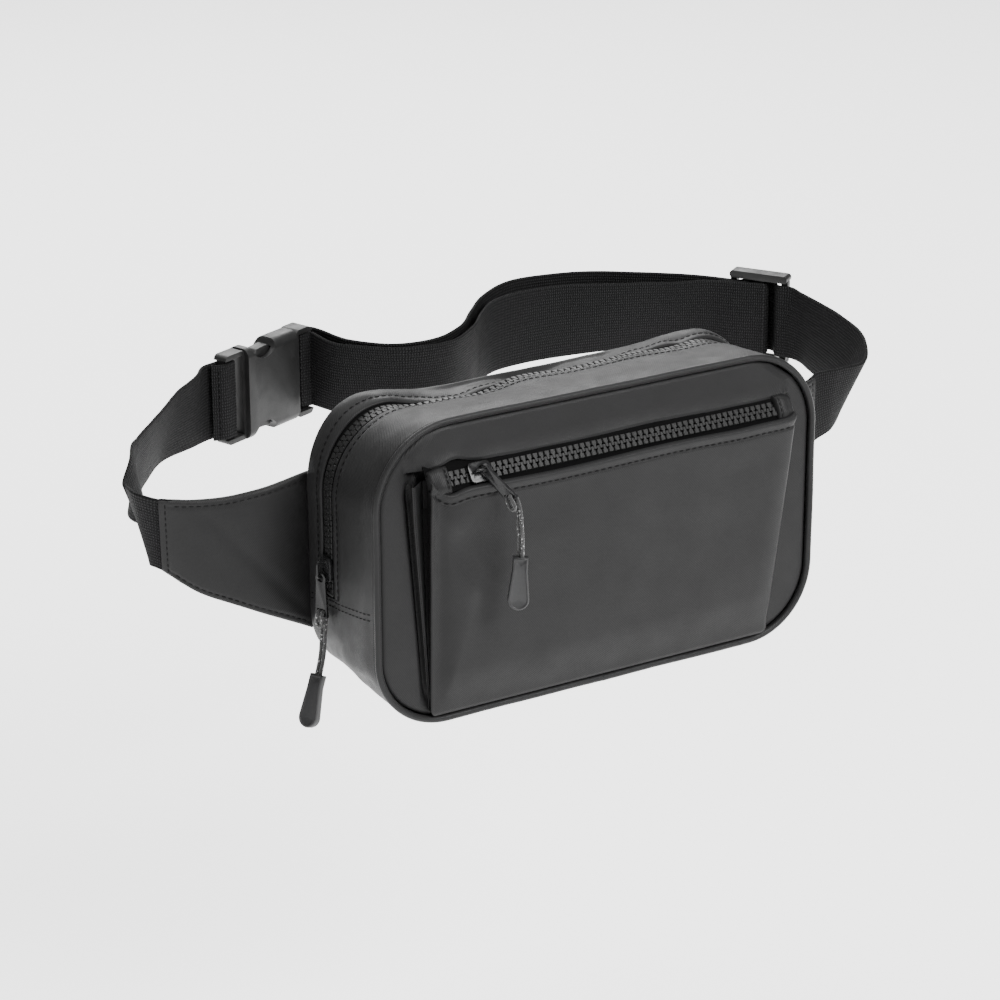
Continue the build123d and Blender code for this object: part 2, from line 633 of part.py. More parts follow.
with BuildPart() as triglide:
    slab(TRIGLIDE_PLANE, -TRIGLIDE_END, TRIGLIDE_END, TRIGLIDE_HEIGHT, 3.5, 4)
    for sign in (-1, 1):
        with BuildSketch(TRIGLIDE_PLANE) as rail:
            with Locations((0, sign * (TRIGLIDE_HEIGHT / 2 - 1.9))):
                RectangleRounded(2 * TRIGLIDE_END, 3.8, 1.8)
        extrude(rail.sketch, amount=3.6, both=True)
        inner, outer = sorted((sign * 2.5, sign * 12))
        slab(TRIGLIDE_PLANE, inner, outer, SLOT_HEIGHT, 10, mode=Mode.SUBTRACT)
write(triglide.part, "triglide")

# ---- hip wings ----

# upright stations of (lower place, upper place) on the middle of each wing, from its root to its tip
LEFT_WING = (
    ((-110.5, 3, -44), (-110.5, 3, 31)),
    ((-133, 3, -32.5), (-133, 2, 28)),
    ((-148, 7, -25.5), (-148, 5, 26)),
    ((-162, 12, -18.5), (-163, 9, 26)),
    ((-173.5, 22, -9), (-178, 13.5, 27.5)),
)
RIGHT_WING = (
    ((110.5, 3, -43), (110.5, 3, 31)),
    ((133, 3, -35), (133, 2, 26)),
    ((148, 7, -31), (148, 5, 22)),
    ((161, 12, -26), (162, 9, 20)),
    ((174, 19, -17), (171.5, 14.5, 19.5)),
)
WING_GAP = 2.4           # between the two layers, where the foam and the strap's end lie
WING_FOAM = 1.6


def middle(station):
    """Middle of an upright station of a wing."""
    return (Vector(*station[0]) + Vector(*station[1])) * 0.5


def wing(stations, thick, shift):
    """One layer of a wing, its middle shifted towards the outside of the belt."""
    sections = []
    for index, (low, high) in enumerate(stations):
        run = middle(stations[min(index + 1, len(stations) - 1)]) - middle(stations[max(index - 1, 0)])
        rise = (Vector(*high) - Vector(*low)).normalized()
        run = (run - rise * run.dot(rise)).normalized()
        out = run.cross(rise)
        side = -1 if out.Y > 0 else 1
        with BuildSketch(Plane(origin=middle((low, high)), x_dir=rise, z_dir=run)) as section:
            with Locations((0, side * shift)):
                Rectangle((Vector(*high) - Vector(*low)).length, thick)
        sections.append(section.sketch)
    loft(sections, ruled=True)


WING_SHIFT = (WING_GAP + CLOTH) / 2
for stations, side in ((LEFT_WING, "left"), (RIGHT_WING, "right")):
    with BuildPart() as wing_front:
        wing(stations, CLOTH, WING_SHIFT)
    write(wing_front.part, f"wing_front_{side}")
    with BuildPart() as wing_back:
        wing(stations, CLOTH, -WING_SHIFT)
    write(wing_back.part, f"wing_back_{side}")
    with BuildPart() as wing_foam:
        wing(stations[:-1], WING_FOAM, 0)
    write(wing_foam.part, f"wing_foam_{side}")

# ---- webbing ----


def band(stations):
    """Flat strap through stations of (place, lean): degrees its top leans outwards, or the way it rises."""
    places = [Vector(*place) for place, lean in stations]
    sections = []
    for index, (place, lean) in enumerate(stations):
        run = places[min(index + 1, len(places) - 1)] - places[max(index - 1, 0)]
        run = run.normalized()
        if isinstance(lean, Vector):
            rise = lean.normalized()
        else:
            up = (Vector(0, 0, 1) - run * run.Z).normalized()
            rise = up * cos(radians(lean)) + up.cross(run) * sin(radians(lean))
        width = WEB_WIDTH / rise.cross(run).length
        run = (run - rise * run.dot(rise)).normalized()
        with BuildSketch(Plane(origin=places[index], x_dir=rise, z_dir=run)) as section:
            Rectangle(width, WEB_THICK)
        sections.append(section.sketch)
    runs = [loft(list(pair), ruled=True, mode=Mode.PRIVATE) for pair in zip(sections, sections[1:])]
    add(runs)


def on(plane, along, out):
    """Place on a piece of hardware, as a tuple."""
    return tuple(plane.from_local_coords((along, 0, out)))


FOLD = BAR_HALF + 0.25 + WEB_THICK / 2   # strap centre line over a bar's face


def round_bar(plane, edge, side, start, end):
    """Stations of a strap folded round a bar: edge is the bar's edge, side the way the fold points."""
    turn = ((-0.9, -FOLD), (0.45, -FOLD + 0.1), (0.95, -FOLD + 0.65), (1.0, -1.0))
    there = [(on(plane, edge + side * along, out), 0) for along, out in turn]
    back = [(on(plane, edge + side * along, -out), 0) for along, out in reversed(turn)]
    return [(on(plane, *start), 0)] + there + back + [(on(plane, *end), 0)]


WING_OVERLAP = 8.0                       # length of strap sewn in between the layers of a wing's tip

def sewn_end(stations):
    """Strap stations from inside a wing's tip to just past it."""
    tip = middle(stations[-1])
    run = (tip - middle(stations[-2])).normalized()
    share = WING_OVERLAP / (tip - middle(stations[-2])).length
    rises = [Vector(*high) - Vector(*low) for low, high in stations[-2:]]
    inner = rises[0] * share + rises[1] * (1 - share)
    return [(tuple(tip - run * WING_OVERLAP), inner), (tuple(tip + run * 2.5), rises[1])]


LEFT_STRAP = sewn_end(LEFT_WING) + [
    ((-177.5, 36, 9.5), 20),
    ((-170.5, 55, 14.5), 8),
    ((-162, 74, 15), -8),
    ((-149, 90, 16), -13),
    ((-136, 105, 16.5), -16),
    ((-121, 121, 17), -16),
    ((-103, 133, 17), -8),
    (on(BUCKLE_PLANE, -38, -3.6), 0),
]
LEFT_STRAP += round_bar(BUCKLE_PLANE, -25, 1, (-31, -FOLD), (-31, FOLD))
LEFT_STRAP += [(on(BUCKLE_PLANE, -36.5, -0.6), 0)]

with BuildPart() as left_strap:
    band(LEFT_STRAP)
write(left_strap.part, "left_strap")

# right wing, through the tri-glide, outer layer back to the buckle
OUTER_LAYER = sewn_end(RIGHT_WING) + [
    ((188, 18.5, 4), 16),
    ((200, 22, 6), 24),
    ((209, 34, 11), 16),
    ((213, 53, 14), 9),
    ((215.5, 74, 15.5), 2),
    ((216.5, 90, 16.5), -2),
    (on(TRIGLIDE_PLANE, 17, 2.7), 0),
    (on(TRIGLIDE_PLANE, 11.4, 2.7), 0),
    (on(TRIGLIDE_PLANE, 5.8, -4.7), 0),
    (on(TRIGLIDE_PLANE, -5.8, -4.7), 0),
    (on(TRIGLIDE_PLANE, -11.4, 2.7), 0),
    (on(TRIGLIDE_PLANE, -16, 2.7), 0),
    ((180, 143, 18), -8),
    ((160, 155, 19), -8),
    ((140, 165, 19.5), -4),
    ((118, 169, 20), 2),
    ((95, 170, 20), 3),
    ((74, 161, 19), 0),
    ((56, 146, 18), -4),
    ((40, 131, 17.5), -8),
    ((22, 124.5, 17), -13),
    ((4, 127, 17), -14),
    ((-12, 141, 17), -10),
    (on(BUCKLE_PLANE, 36.5, -1.5), -4),
]
OUTER_LAYER += round_bar(BUCKLE_PLANE, 26, -1, (32, -FOLD), (31, FOLD + 1.2))

# inner layer from the buckle to the tri-glide, where its end is folded round the middle bar and sewn
INNER_LAYER = [
    OUTER_LAYER[-1],
    ((-20, 143, 16), -8),
    ((-10, 133, 16.5), -14),
    ((6, 120, 17), -15),
    ((26, 118, 16.5), -13),
    ((45, 128, 17), -8),
    ((60, 143, 17), -4),
    ((77, 157, 16.5), 0),
    ((96, 162, 16), 3),
    ((117, 161, 16), 2),
    ((138, 155, 16), -6),
    ((157, 147, 16.5), -12),
    ((176, 137.5, 16.5), -12),
    (on(TRIGLIDE_PLANE, -22, 6.6), -4),
    (on(TRIGLIDE_PLANE, -14, 6.4), 0),
    (on(TRIGLIDE_PLANE, -6, 5.0), 0),
    (on(TRIGLIDE_PLANE, 1.6, 2.8), 0),
    (on(TRIGLIDE_PLANE, 3.0, 2.65), 0),
    (on(TRIGLIDE_PLANE, 3.5, 1.9), 0),
    (on(TRIGLIDE_PLANE, 3.5, -1.9), 0),
    (on(TRIGLIDE_PLANE, 3.0, -2.65), 0),
    (on(TRIGLIDE_PLANE, 1.6, -2.85), 0),
    (on(TRIGLIDE_PLANE, -2.2, -2.9), 0),
    (on(TRIGLIDE_PLANE, -3.5, -2.2), 0),
    (on(TRIGLIDE_PLANE, -8.2, 3.6), 0),
    (on(TRIGLIDE_PLANE, -14, 4.55), 0),
    (on(TRIGLIDE_PLANE, -21, 4.6), 0),
]

with BuildPart() as long_strap:
    band(OUTER_LAYER[::-1])
    band(INNER_LAYER)
write(long_strap.part, "long_strap")
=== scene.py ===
import math

import bmesh
import bpy
import numpy as np
from mathutils import Matrix, Vector, noise


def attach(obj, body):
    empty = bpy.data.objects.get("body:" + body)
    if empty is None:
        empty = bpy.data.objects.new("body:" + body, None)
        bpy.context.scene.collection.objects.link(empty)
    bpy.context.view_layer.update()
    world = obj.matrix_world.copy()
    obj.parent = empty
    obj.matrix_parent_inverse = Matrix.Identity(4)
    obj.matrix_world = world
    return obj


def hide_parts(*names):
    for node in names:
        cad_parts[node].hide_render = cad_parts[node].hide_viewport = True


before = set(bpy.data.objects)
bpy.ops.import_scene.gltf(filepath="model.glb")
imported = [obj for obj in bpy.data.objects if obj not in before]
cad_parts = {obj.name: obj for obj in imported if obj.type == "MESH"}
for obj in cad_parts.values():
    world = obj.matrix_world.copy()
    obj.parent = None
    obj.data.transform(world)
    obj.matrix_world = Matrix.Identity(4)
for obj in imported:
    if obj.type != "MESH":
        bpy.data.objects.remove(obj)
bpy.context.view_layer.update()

MM = 0.001

# ---- driving dimensions, in millimetres ----

WIDTH = 230.0
HEIGHT = 141.0
DEPTH = 64.0
R_TOP = 38.5
R_BOTTOM = 35.0
TOP_SAG = 7.5           # the top falls this much towards the back
BOTTOM_RISE = 3.0
PIPING_R = 1.65
WALL_INSET = 0.8        # gusset face inside the piping's outer edge
ROLL = 4.5              # the rear gusset rolls in over the back by this much
CLOTH = 1.2

ZIP_HEIGHT = 21.0
FOLD_GAP = 4.8          # from the zip's middle to the folded cloth on each side
TOOTH_PITCH = 3.0
SEAM_Z = -20.0
SEAM_SLOPE = 0.186

POCKET_TOP = 40.0
POCKET_BOTTOM = -66.5
POCKET_TOP_HALF = 97.0
POCKET_BOTTOM_HALF = 89.0
POCKET_LIFT = 10.0
POCKET_ZIP = Vector((0, -70.5, 45))
POCKET_TILT = math.radians(35)
POCKET_LEFT = -84.0
POCKET_RIGHT = 87.0
POCKET_SLIDER_X = -67.0
POCKET_FOOT = 1.3       # bottom edge of the pocket in front of the front panel

WEB_WIDTH = 38.0
WEB_THICK = 1.5

CORD_D = 1.7
GRIP_LENGTH = 24.0
TAB_BAR_DROP = 17.5     # from the tab's pivot to the bar that the cord hangs on
TAB_PIVOT = 6.8         # height of the tab's pivot over the middle of the zip

# stitch rows: distance from the fold or edge beside them
ZIP_STITCH = 4.2
LIP_STITCH = 4.4
WING_STITCH = 2.7
TIP_STITCH = 3.2

# ---- studio: metres, watts, a lens in millimetres and a roll in degrees ----

CAMERA_AT = Vector((-0.7442, -1.2182, 0.5540))
CAMERA_AIM = Vector((-0.0522, -0.0640, 0.0276))
CAMERA_LENS = 120.4
CAMERA_ROLL = -0.2
FLOOR_Z = -0.32
FLOOR_HALF = 6
FLOOR_GLOW = 1.2
WORLD_LIGHT = 0.4
LIGHTS = (              # name, place, size, power
    ("top", (0.0, 0.5, 2.2), (3.2, 2.4), 88),
    ("key", (-1.5, -0.7, 1.2), (0.9, 0.9), 3),
    ("back", (0.8, 2.2, 1.2), (2.0, 1.0), 45),
    ("front", (0.5, -1.9, 1.5), (1.2, 1.0), 108),
)


# ---- node materials ----

def material(name, color, rough, **inputs):
    """Principled material with its constant values on the shader's own sockets."""
    mat = bpy.data.materials.new(name)
    mat.use_nodes = True
    shader = mat.node_tree.nodes["Principled BSDF"]
    shader.inputs["Base Color"].default_value = (*color, 1)
    shader.inputs["Roughness"].default_value = rough
    for socket, value in inputs.items():
        shader.inputs[socket.replace("_", " ")].default_value = value
    return mat, mat.node_tree, shader


def maths(tree, operation, first, second=0.5, third=0.5):
    """A maths node; each input is a socket or a number."""
    made = tree.nodes.new("ShaderNodeMath")
    made.operation = operation
    for slot_index, value in enumerate((first, second, third)):
        if isinstance(value, (int, float)):
            made.inputs[slot_index].default_value = value
        else:
            tree.links.new(value, made.inputs[slot_index])
    return made.outputs[0]


def weigh(tree, *parts):
    """Sum of sockets, each times its weight."""
    total = None
    for value, weight in parts:
        part = maths(tree, "MULTIPLY", value, weight)
        total = part if total is None else maths(tree, "ADD", total, part)
    return total


def coordinates(tree, output, scale=(1, 1, 1), turn=(0, 0, 0)):
    """Texture coordinates in metres, scaled and turned."""
    source = tree.nodes.new("ShaderNodeTexCoord")
    mapping = tree.nodes.new("ShaderNodeMapping")
    mapping.inputs["Scale"].default_value = scale
    mapping.inputs["Rotation"].default_value = turn
    tree.links.new(source.outputs[output], mapping.inputs["Vector"])
    return mapping.outputs[0]


def noise_value(tree, vector, scale, detail=2.0):
    made = tree.nodes.new("ShaderNodeTexNoise")
    made.inputs["Scale"].default_value = scale
    made.inputs["Detail"].default_value = detail
    tree.links.new(vector, made.inputs["Vector"])
    return made.outputs["Fac"]


def ramp_color(tree, factor, low, high):
    """Colour between two by a factor."""
    mix = tree.nodes.new("ShaderNodeMix")
    mix.data_type = "RGBA"
    mix.inputs["A"].default_value = (*low, 1)
    mix.inputs["B"].default_value = (*high, 1)
    tree.links.new(factor, mix.inputs["Factor"])
    return mix.outputs["Result"]


def tint(tree, shader, factor, low, high):
    tree.links.new(ramp_color(tree, factor, low, high), shader.inputs["Base Color"])


def add_bump(tree, shader, height, distance, strength=1.0):
    bump = tree.nodes.new("ShaderNodeBump")
    bump.inputs["Strength"].default_value = strength
    bump.inputs["Distance"].default_value = distance
    tree.links.new(height, bump.inputs["Height"])
    tree.links.new(bump.outputs["Normal"], shader.inputs["Normal"])


def stretch(tree, value, low, high, out_low, out_high):
    made = tree.nodes.new("ShaderNodeMapRange")
    limits = {"From Min": low, "From Max": high, "To Min": out_low, "To Max": out_high}
    for name, number in limits.items():
        made.inputs[name].default_value = number
    tree.links.new(value, made.inputs["Value"])
    return made.outputs["Result"]


def coated_cloth(name, tone, rough):
    """Matte coated fabric: a fine diagonal twill under a soft, slightly uneven coating."""
    mat, tree, shader = material(name, (tone, tone, tone * 1.03), rough, Specular_IOR_Level=0.11)
    uv = coordinates(tree, "UV")
    place = coordinates(tree, "Object")
    turned = coordinates(tree, "UV", turn=(0, 0, math.radians(38)))
    twill = tree.nodes.new("ShaderNodeTexWave")
    twill.inputs["Scale"].default_value = 380
    twill.inputs["Distortion"].default_value = 0.6
    twill.inputs["Detail"].default_value = 1.0
    tree.links.new(turned, twill.inputs["Vector"])
    grain = noise_value(tree, uv, 900, 3)
    cloud = noise_value(tree, place, 22, 3)
    rub = noise_value(tree, place, 90, 4)
    height = weigh(tree, (twill.outputs["Fac"], 0.75), (grain, 0.6))
    add_bump(tree, shader, height, 0.00012, 0.55)
    mottle = weigh(tree, (cloud, 0.6), (twill.outputs["Fac"], 0.25))
    low = tuple(tone * 0.80 for _ in range(3))
    high = (tone * 1.2, tone * 1.19, tone * 1.22)
    tint(tree, shader, mottle, low, high)
    tree.links.new(stretch(tree, rub, 0.3, 0.7, rough - 0.06, rough + 0.06), shader.inputs["Roughness"])
    return mat


def webbing_material():
    """Ribbed polyester webbing: UV runs in metres along and across the strap."""
    mat, tree, shader = material("webbing", (0.006, 0.006, 0.006), 0.65, Specular_IOR_Level=0.05)
    uv = coordinates(tree, "UV")
    split = tree.nodes.new("ShaderNodeSeparateXYZ")
    tree.links.new(uv, split.inputs[0])
    along = maths(tree, "MULTIPLY", split.outputs["X"], 2 * math.pi / 0.00115)
    across = maths(tree, "MULTIPLY", split.outputs["Y"], 2 * math.pi / 0.0015)
    offset = maths(tree, "MULTIPLY", maths(tree, "SINE", maths(tree, "MULTIPLY", across, 0.5)), 0.7)
    picks = maths(tree, "SINE", maths(tree, "ADD", along, offset))
    ribs = maths(tree, "SINE", across)
    band = maths(tree, "SINE", maths(tree, "MULTIPLY", split.outputs["Y"], 2 * math.pi / 0.0047))
    fibre = noise_value(tree, uv, 2600, 2)
    weave = maths(tree, "MULTIPLY", maths(tree, "ADD", picks, 1.0), maths(tree, "ADD", ribs, 1.25))
    add_bump(tree, shader, weigh(tree, (weave, 0.3), (band, 0.12), (fibre, 0.35)), 0.00035, 0.9)
    mottle = weigh(tree, (weave, 0.22), (fibre, 0.3))
    tint(tree, shader, mottle, (0.0015, 0.0015, 0.0015), (0.020, 0.020, 0.0205))
    return mat


def tape_material():
    """Woven zip tape."""
    mat, tree, shader = material("zip_tape", (0.003, 0.003, 0.003), 0.85, Specular_IOR_Level=0.04)
    place = coordinates(tree, "Object")
    weave = noise_value(tree, place, 1800, 2)
    add_bump(tree, shader, weave, 0.0002, 0.6)
    tint(tree, shader, weave, (0.001, 0.001, 0.001), (0.004, 0.004, 0.0041))
    return mat


def plastic_material(name, tone, rough, gloss, grain_size=1500, grain_height=0.00005):
    """Moulded plastic with a fine spark-eroded grain and slight wear."""
    mat, tree, shader = material(name, (tone, tone, tone * 1.02), rough, Specular_IOR_Level=gloss)
    place = coordinates(tree, "Object")
    grain = noise_value(tree, place, grain_size, 3)
    wear = noise_value(tree, place, 160, 4)
    add_bump(tree, shader, grain, grain_height, 0.7)
    tree.links.new(stretch(tree, wear, 0.3, 0.7, rough - 0.07, rough + 0.08), shader.inputs["Roughness"])
    tint(tree, shader, wear, (tone * 0.85,) * 3, (tone * 1.2,) * 3)
    return mat


def metal_material():
    """Gloss-black plated zinc."""
    mat, tree, shader = material("slider_metal", (0.01, 0.01, 0.0105), 0.26, Specular_IOR_Level=0.2)
    place = coordinates(tree, "Object")
    wear = noise_value(tree, place, 420, 4)
    tree.links.new(stretch(tree, wear, 0.35, 0.75, 0.16, 0.36), shader.inputs["Roughness"])
    add_bump(tree, shader, wear, 0.00004, 0.4)
    tint(tree, shader, wear, (0.004, 0.004, 0.0042), (0.014, 0.014, 0.0145))
    return mat


def cord_material():
    """Braided cord with pale fleck yarns."""
    mat, tree, shader = material("cord", (0.012, 0.012, 0.012), 0.7, Sheen_Weight=0.3)
    place = coordinates(tree, "Object")
    cells = tree.nodes.new("ShaderNodeTexVoronoi")
    cells.inputs["Scale"].default_value = 1500
    tree.links.new(place, cells.inputs["Vector"])
    tone = tree.nodes.new("ShaderNodeSeparateColor")
    tree.links.new(cells.outputs["Color"], tone.inputs[0])
    fleck = maths(tree, "GREATER_THAN", tone.outputs[0], 0.95)
    tint(tree, shader, fleck, (0.009, 0.009, 0.009), (0.24, 0.24, 0.24))
    add_bump(tree, shader, cells.outputs["Distance"], 0.0004, 0.9)
    return mat


def rubber_material():
    mat, tree, shader = material("grip", (0.022, 0.022, 0.023), 0.5, Specular_IOR_Level=0.4)
    place = coordinates(tree, "Object")
    grain = noise_value(tree, place, 700, 3)
    add_bump(tree, shader, grain, 0.00006, 0.6)
    tint(tree, shader, grain, (0.007, 0.007, 0.0075), (0.014, 0.014, 0.0145))
    return mat


SHELL = coated_cloth("shell_cloth", 0.011, 0.44)
LINING = coated_cloth("lining_cloth", 0.008, 0.70)
# painted sheen: the piping's tone is set lighter than the shell cloth's to stand in for the shine on its
# rounded cover
PIPING = coated_cloth("piping", 0.014, 0.36)
WEBBING = webbing_material()
TAPE = tape_material()
TEETH = plastic_material("zip_teeth", 0.007, 0.40, 0.16)
HARDWARE = plastic_material("hardware", 0.009, 0.40, 0.26)
METAL = metal_material()
CORD = cord_material()
GRIP = rubber_material()
THREAD, _, _ = material("thread", (0.0025, 0.0025, 0.0025), 0.6, Specular_IOR_Level=0.1)


# ---- mesh helpers ----

def new_object(name, data):
    """Object with its data, linked into the scene."""
    obj = bpy.data.objects.new(name, data)
    bpy.context.scene.collection.objects.link(obj)
    return obj


def finish_piece(obj, body, slot_name, mat, *nodes):
    """Give a piece its material and body, and hide the CAD nodes it stands for; slot_name is not used."""
    if obj.type == "MESH":
        obj.data.materials.clear()
    obj.data.materials.append(mat)
    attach(obj, body)
    if nodes:
        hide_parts(*nodes)
    return obj


def mesh_object(name, verts, faces, uvs=None, sharp=50):
    """Mesh object from points in millimetres."""
    mesh = bpy.data.meshes.new(name)
    mesh.from_pydata([tuple(c * MM for c in v) for v in verts], [], faces)
    if uvs is not None:
        layer = mesh.uv_layers.new(name="UVMap")
        loops = np.zeros(len(mesh.loops), np.int32)
        mesh.loops.foreach_get("vertex_index", loops)
        layer.data.foreach_set("uv", (np.asarray(uvs, float)[loops] * MM).ravel())
    mesh.update()
    obj = new_object(name, mesh)
    shade(obj, sharp)
    return obj


def shade(obj, sharp=50):
    obj.data.polygons.foreach_set("use_smooth", [True] * len(obj.data.polygons))
    obj.data.set_sharp_from_angle(angle=math.radians(sharp))
    obj.data.update()


def face_outwards(mesh):
    shape = bmesh.new()
    shape.from_mesh(mesh)
    bmesh.ops.recalc_face_normals(shape, faces=shape.faces)
    shape.to_mesh(mesh)
    shape.free()


def grid_faces(rows, columns, wrap_rows=False, wrap_columns=False, start=0, flip=False):
    """Quads of a grid of points."""
    faces = []
    for i in range(rows if wrap_rows else rows - 1):
        for j in range(columns if wrap_columns else columns - 1):
            a = start + i * columns + j
            b = start + i * columns + (j + 1) % columns
            c = start + ((i + 1) % rows) * columns + (j + 1) % columns
            d = start + ((i + 1) % rows) * columns + j
            faces.append((a, d, c, b) if flip else (a, b, c, d))
    return faces


def loop_mesh(name, points, uvs, wrap=False, flip=False, sharp=50):
    """Closed solid from rings: points[i][j] is point j of ring i; the ends are capped unless it wraps."""
    rings, count = points.shape[0], points.shape[1]
    faces = grid_faces(rings, count, wrap_rows=wrap, wrap_columns=True, flip=flip)
    if not wrap:
        first = list(range(count))
        last = [(rings - 1) * count + j for j in range(count)]
        faces.append(tuple(first if flip else first[::-1]))
        faces.append(tuple(last[::-1] if flip else last))
    return mesh_object(name, points.reshape(-1, 3), faces, np.asarray(uvs).reshape(-1, 2), sharp=sharp)


def sheet_mesh(name, front, back, uvs, flip=False, sharp=50):
    """Closed thin solid from two grids of points, joined along their borders."""
    rows, columns = front.shape[:2]
    size = rows * columns
    faces = grid_faces(rows, columns, flip=flip)
    faces += grid_faces(rows, columns, start=size, flip=not flip)
    border = [j for j in range(columns)]
    border += [i * columns + columns - 1 for i in range(1, rows)]
    border += [(rows - 1) * columns + j for j in range(columns - 2, -1, -1)]
    border += [i * columns for i in range(rows - 2, 0, -1)]
    for a, b in zip(border, border[1:] + border[:1]):
        faces.append((b, a, a + size, b + size) if not flip else (a, b, b + size, a + size))
    verts = np.concatenate([front.reshape(-1, 3), back.reshape(-1, 3)])
    both = np.concatenate([np.asarray(uvs).reshape(-1, 2)] * 2)
    return mesh_object(name, verts, faces, both, sharp=sharp)


def wave_noise(x, y, z=0.0, scale=1.0):
    """Smooth noise in [-1, 1], array by array."""
    xs, ys = np.broadcast_arrays(np.asarray(x, float), np.asarray(y, float))
    out = [noise.noise(Vector((a * scale, b * scale, z))) for a, b in zip(xs.ravel(), ys.ravel())]
    return np.array(out).reshape(xs.shape)


def bell(value, centre, width):
    return np.exp(-(((value - centre) / width) ** 2))


def ease(value):
    value = np.clip(value, 0, 1)
    return value * value * (3 - 2 * value)


def rounded(distance, radius):
    """Height of a quarter-round edge, 0 to 1, by the distance from the edge."""
    return np.sqrt(np.clip(1 - (1 - np.clip(distance / radius, 0, 1)) ** 2, 0, 1))


def pairs(first, second):
    """Grid of pairs from two arrays that spread over each other."""
    return np.stack(np.broadcast_arrays(first, second), -1)


def reach_along(points):
    """Distance from the first point to each point, along them."""
    return np.concatenate([[0], np.cumsum(np.linalg.norm(np.diff(points, axis=0), axis=1))])


def sample(at, reach, rows):
    """Rows of three values at distances along a line."""
    return np.stack([np.interp(at, reach, rows[:, k]) for k in range(3)], axis=-1)


def soften(name, source, width, segments, body, slot_name, mat):
    """Copy of a CAD node with its edges rounded."""
    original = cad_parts[source]
    mesh = original.data.copy()
    mesh.name = name
    obj = new_object(name, mesh)
    shape = bmesh.new()
    shape.from_mesh(mesh)
    bmesh.ops.remove_doubles(shape, verts=shape.verts, dist=1e-6)
    bmesh.ops.dissolve_limit(shape, angle_limit=math.radians(1.0), verts=shape.verts, edges=shape.edges)
    corners = [e for e in shape.edges if len(e.link_faces) == 2 and e.calc_face_angle() > math.radians(28)]
    bmesh.ops.bevel(shape, geom=corners, offset=width * MM, segments=segments, profile=0.6,
                    affect="EDGES", clamp_overlap=True)
    shape.to_mesh(mesh)
    shape.free()
    shade(obj, 40)
    return finish_piece(obj, body, slot_name, mat, source)


def stitches(name, points, normals, length, gap, width, slot_name="shell_cloth"):
    """A row of thread stitches lying on a surface along a line of points, in millimetres."""
    points = np.asarray(points, float)
    normals = np.asarray(normals, float)
    reach = reach_along(points)
    verts, faces = [], []
    count = int(reach[-1] / (length + gap))
    for index in range(count):
        start = index * (length + gap) + gap / 2
        stations = start + length * np.array([0.0, 0.12, 0.5, 0.88, 1.0])
        rise = np.array([-0.15, 0.10, 0.20, 0.10, -0.15])
        half = width * np.array([0.25, 0.46, 0.5, 0.46, 0.25])
        centre = sample(stations, reach, points)
        out = sample(stations, reach, normals)
        run = centre[-1] - centre[0]
        run = run / (np.linalg.norm(run) + 1e-9)
        base = len(verts)
        for place, up, lift, radius in zip(centre, out, rise, half):
            side = np.cross(run, up)
            side = side / (np.linalg.norm(side) + 1e-9)
            for turn in range(6):
                angle = turn * math.pi / 3
                verts.append(place + up * (lift + radius * math.sin(angle)) + side * radius * math.cos(angle))
        faces += grid_faces(5, 6, wrap_columns=True, start=base)
        faces.append(tuple(base + k for k in range(5, -1, -1)))
        faces.append(tuple(base + 24 + k for k in range(6)))
    obj = mesh_object(name, verts, faces)
    return finish_piece(obj, "pack", slot_name, THREAD)


# ---- the bag's wall ----

HALF_BOTTOM = WIDTH / 2 - R_BOTTOM
SIDE = HEIGHT - R_TOP - R_BOTTOM
ACROSS = WIDTH - 2 * R_TOP
LEGS = np.array([HALF_BOTTOM, R_BOTTOM * math.pi / 2, SIDE, R_TOP * math.pi / 2, ACROSS,
                 R_TOP * math.pi / 2, SIDE, R_BOTTOM * math.pi / 2, HALF_BOTTOM])
MARKS = np.concatenate([[0], np.cumsum(LEGS)])
ROUND = MARKS[-1]
LEFT_FOOT = MARKS[2]        # where the straight left side starts
TOP_START = MARKS[4]
TOP_END = MARKS[5]


def rim(s, h, inset):
    """Place and outward direction on the bag's wall: s along the outline from the middle of the bottom, to
    the left and up, h the height over the back and inset the depth under the widest line."""
    s, h, inset = np.broadcast_arrays(np.mod(s, ROUND), np.asarray(h, float), np.asarray(inset, float))
    fall = 1 - h / DEPTH
    half = WIDTH / 2 - inset
    top = HEIGHT / 2 - TOP_SAG * fall - inset
    bottom = -HEIGHT / 2 + BOTTOM_RISE * fall + inset
    rt = np.maximum(R_TOP - inset, 0.5)
    rb = np.maximum(R_BOTTOM - inset, 0.5)
    leg = np.clip(np.searchsorted(MARKS, s, side="right") - 1, 0, 8)
    t = (s - MARKS[leg]) / LEGS[leg]
    zero = np.zeros_like(t)
    one = np.ones_like(t)
    quarter = math.pi / 2
    angle = np.choose(leg, [zero, -quarter - quarter * t, zero, math.pi - quarter * t, zero,
                            quarter - quarter * t, zero, -quarter * t, zero])
    c, k = np.cos(angle), np.sin(angle)
    x = np.choose(leg, [-t * (half - rb), -half + rb + rb * c, -half * one, -half + rt + rt * c,
                        -half + rt + t * 2 * (half - rt), half - rt + rt * c, half * one,
                        half - rb + rb * c, (1 - t) * (half - rb)])
    z = np.choose(leg, [bottom, bottom + rb + rb * k, bottom + rb + t * (top - rt - bottom - rb),
                        top - rt + rt * k, top, top - rt + rt * k, top - rt - t * (top - rt - bottom - rb),
                        bottom + rb + rb * k, bottom])
    nx = np.choose(leg, [zero, c, -one, c, zero, c, one, c, zero])
    nz = np.choose(leg, [-one, k, zero, k, one, k, zero, k, -one])
    return np.stack([x, -h, z], -1), np.stack([nx, zero, nz], -1)


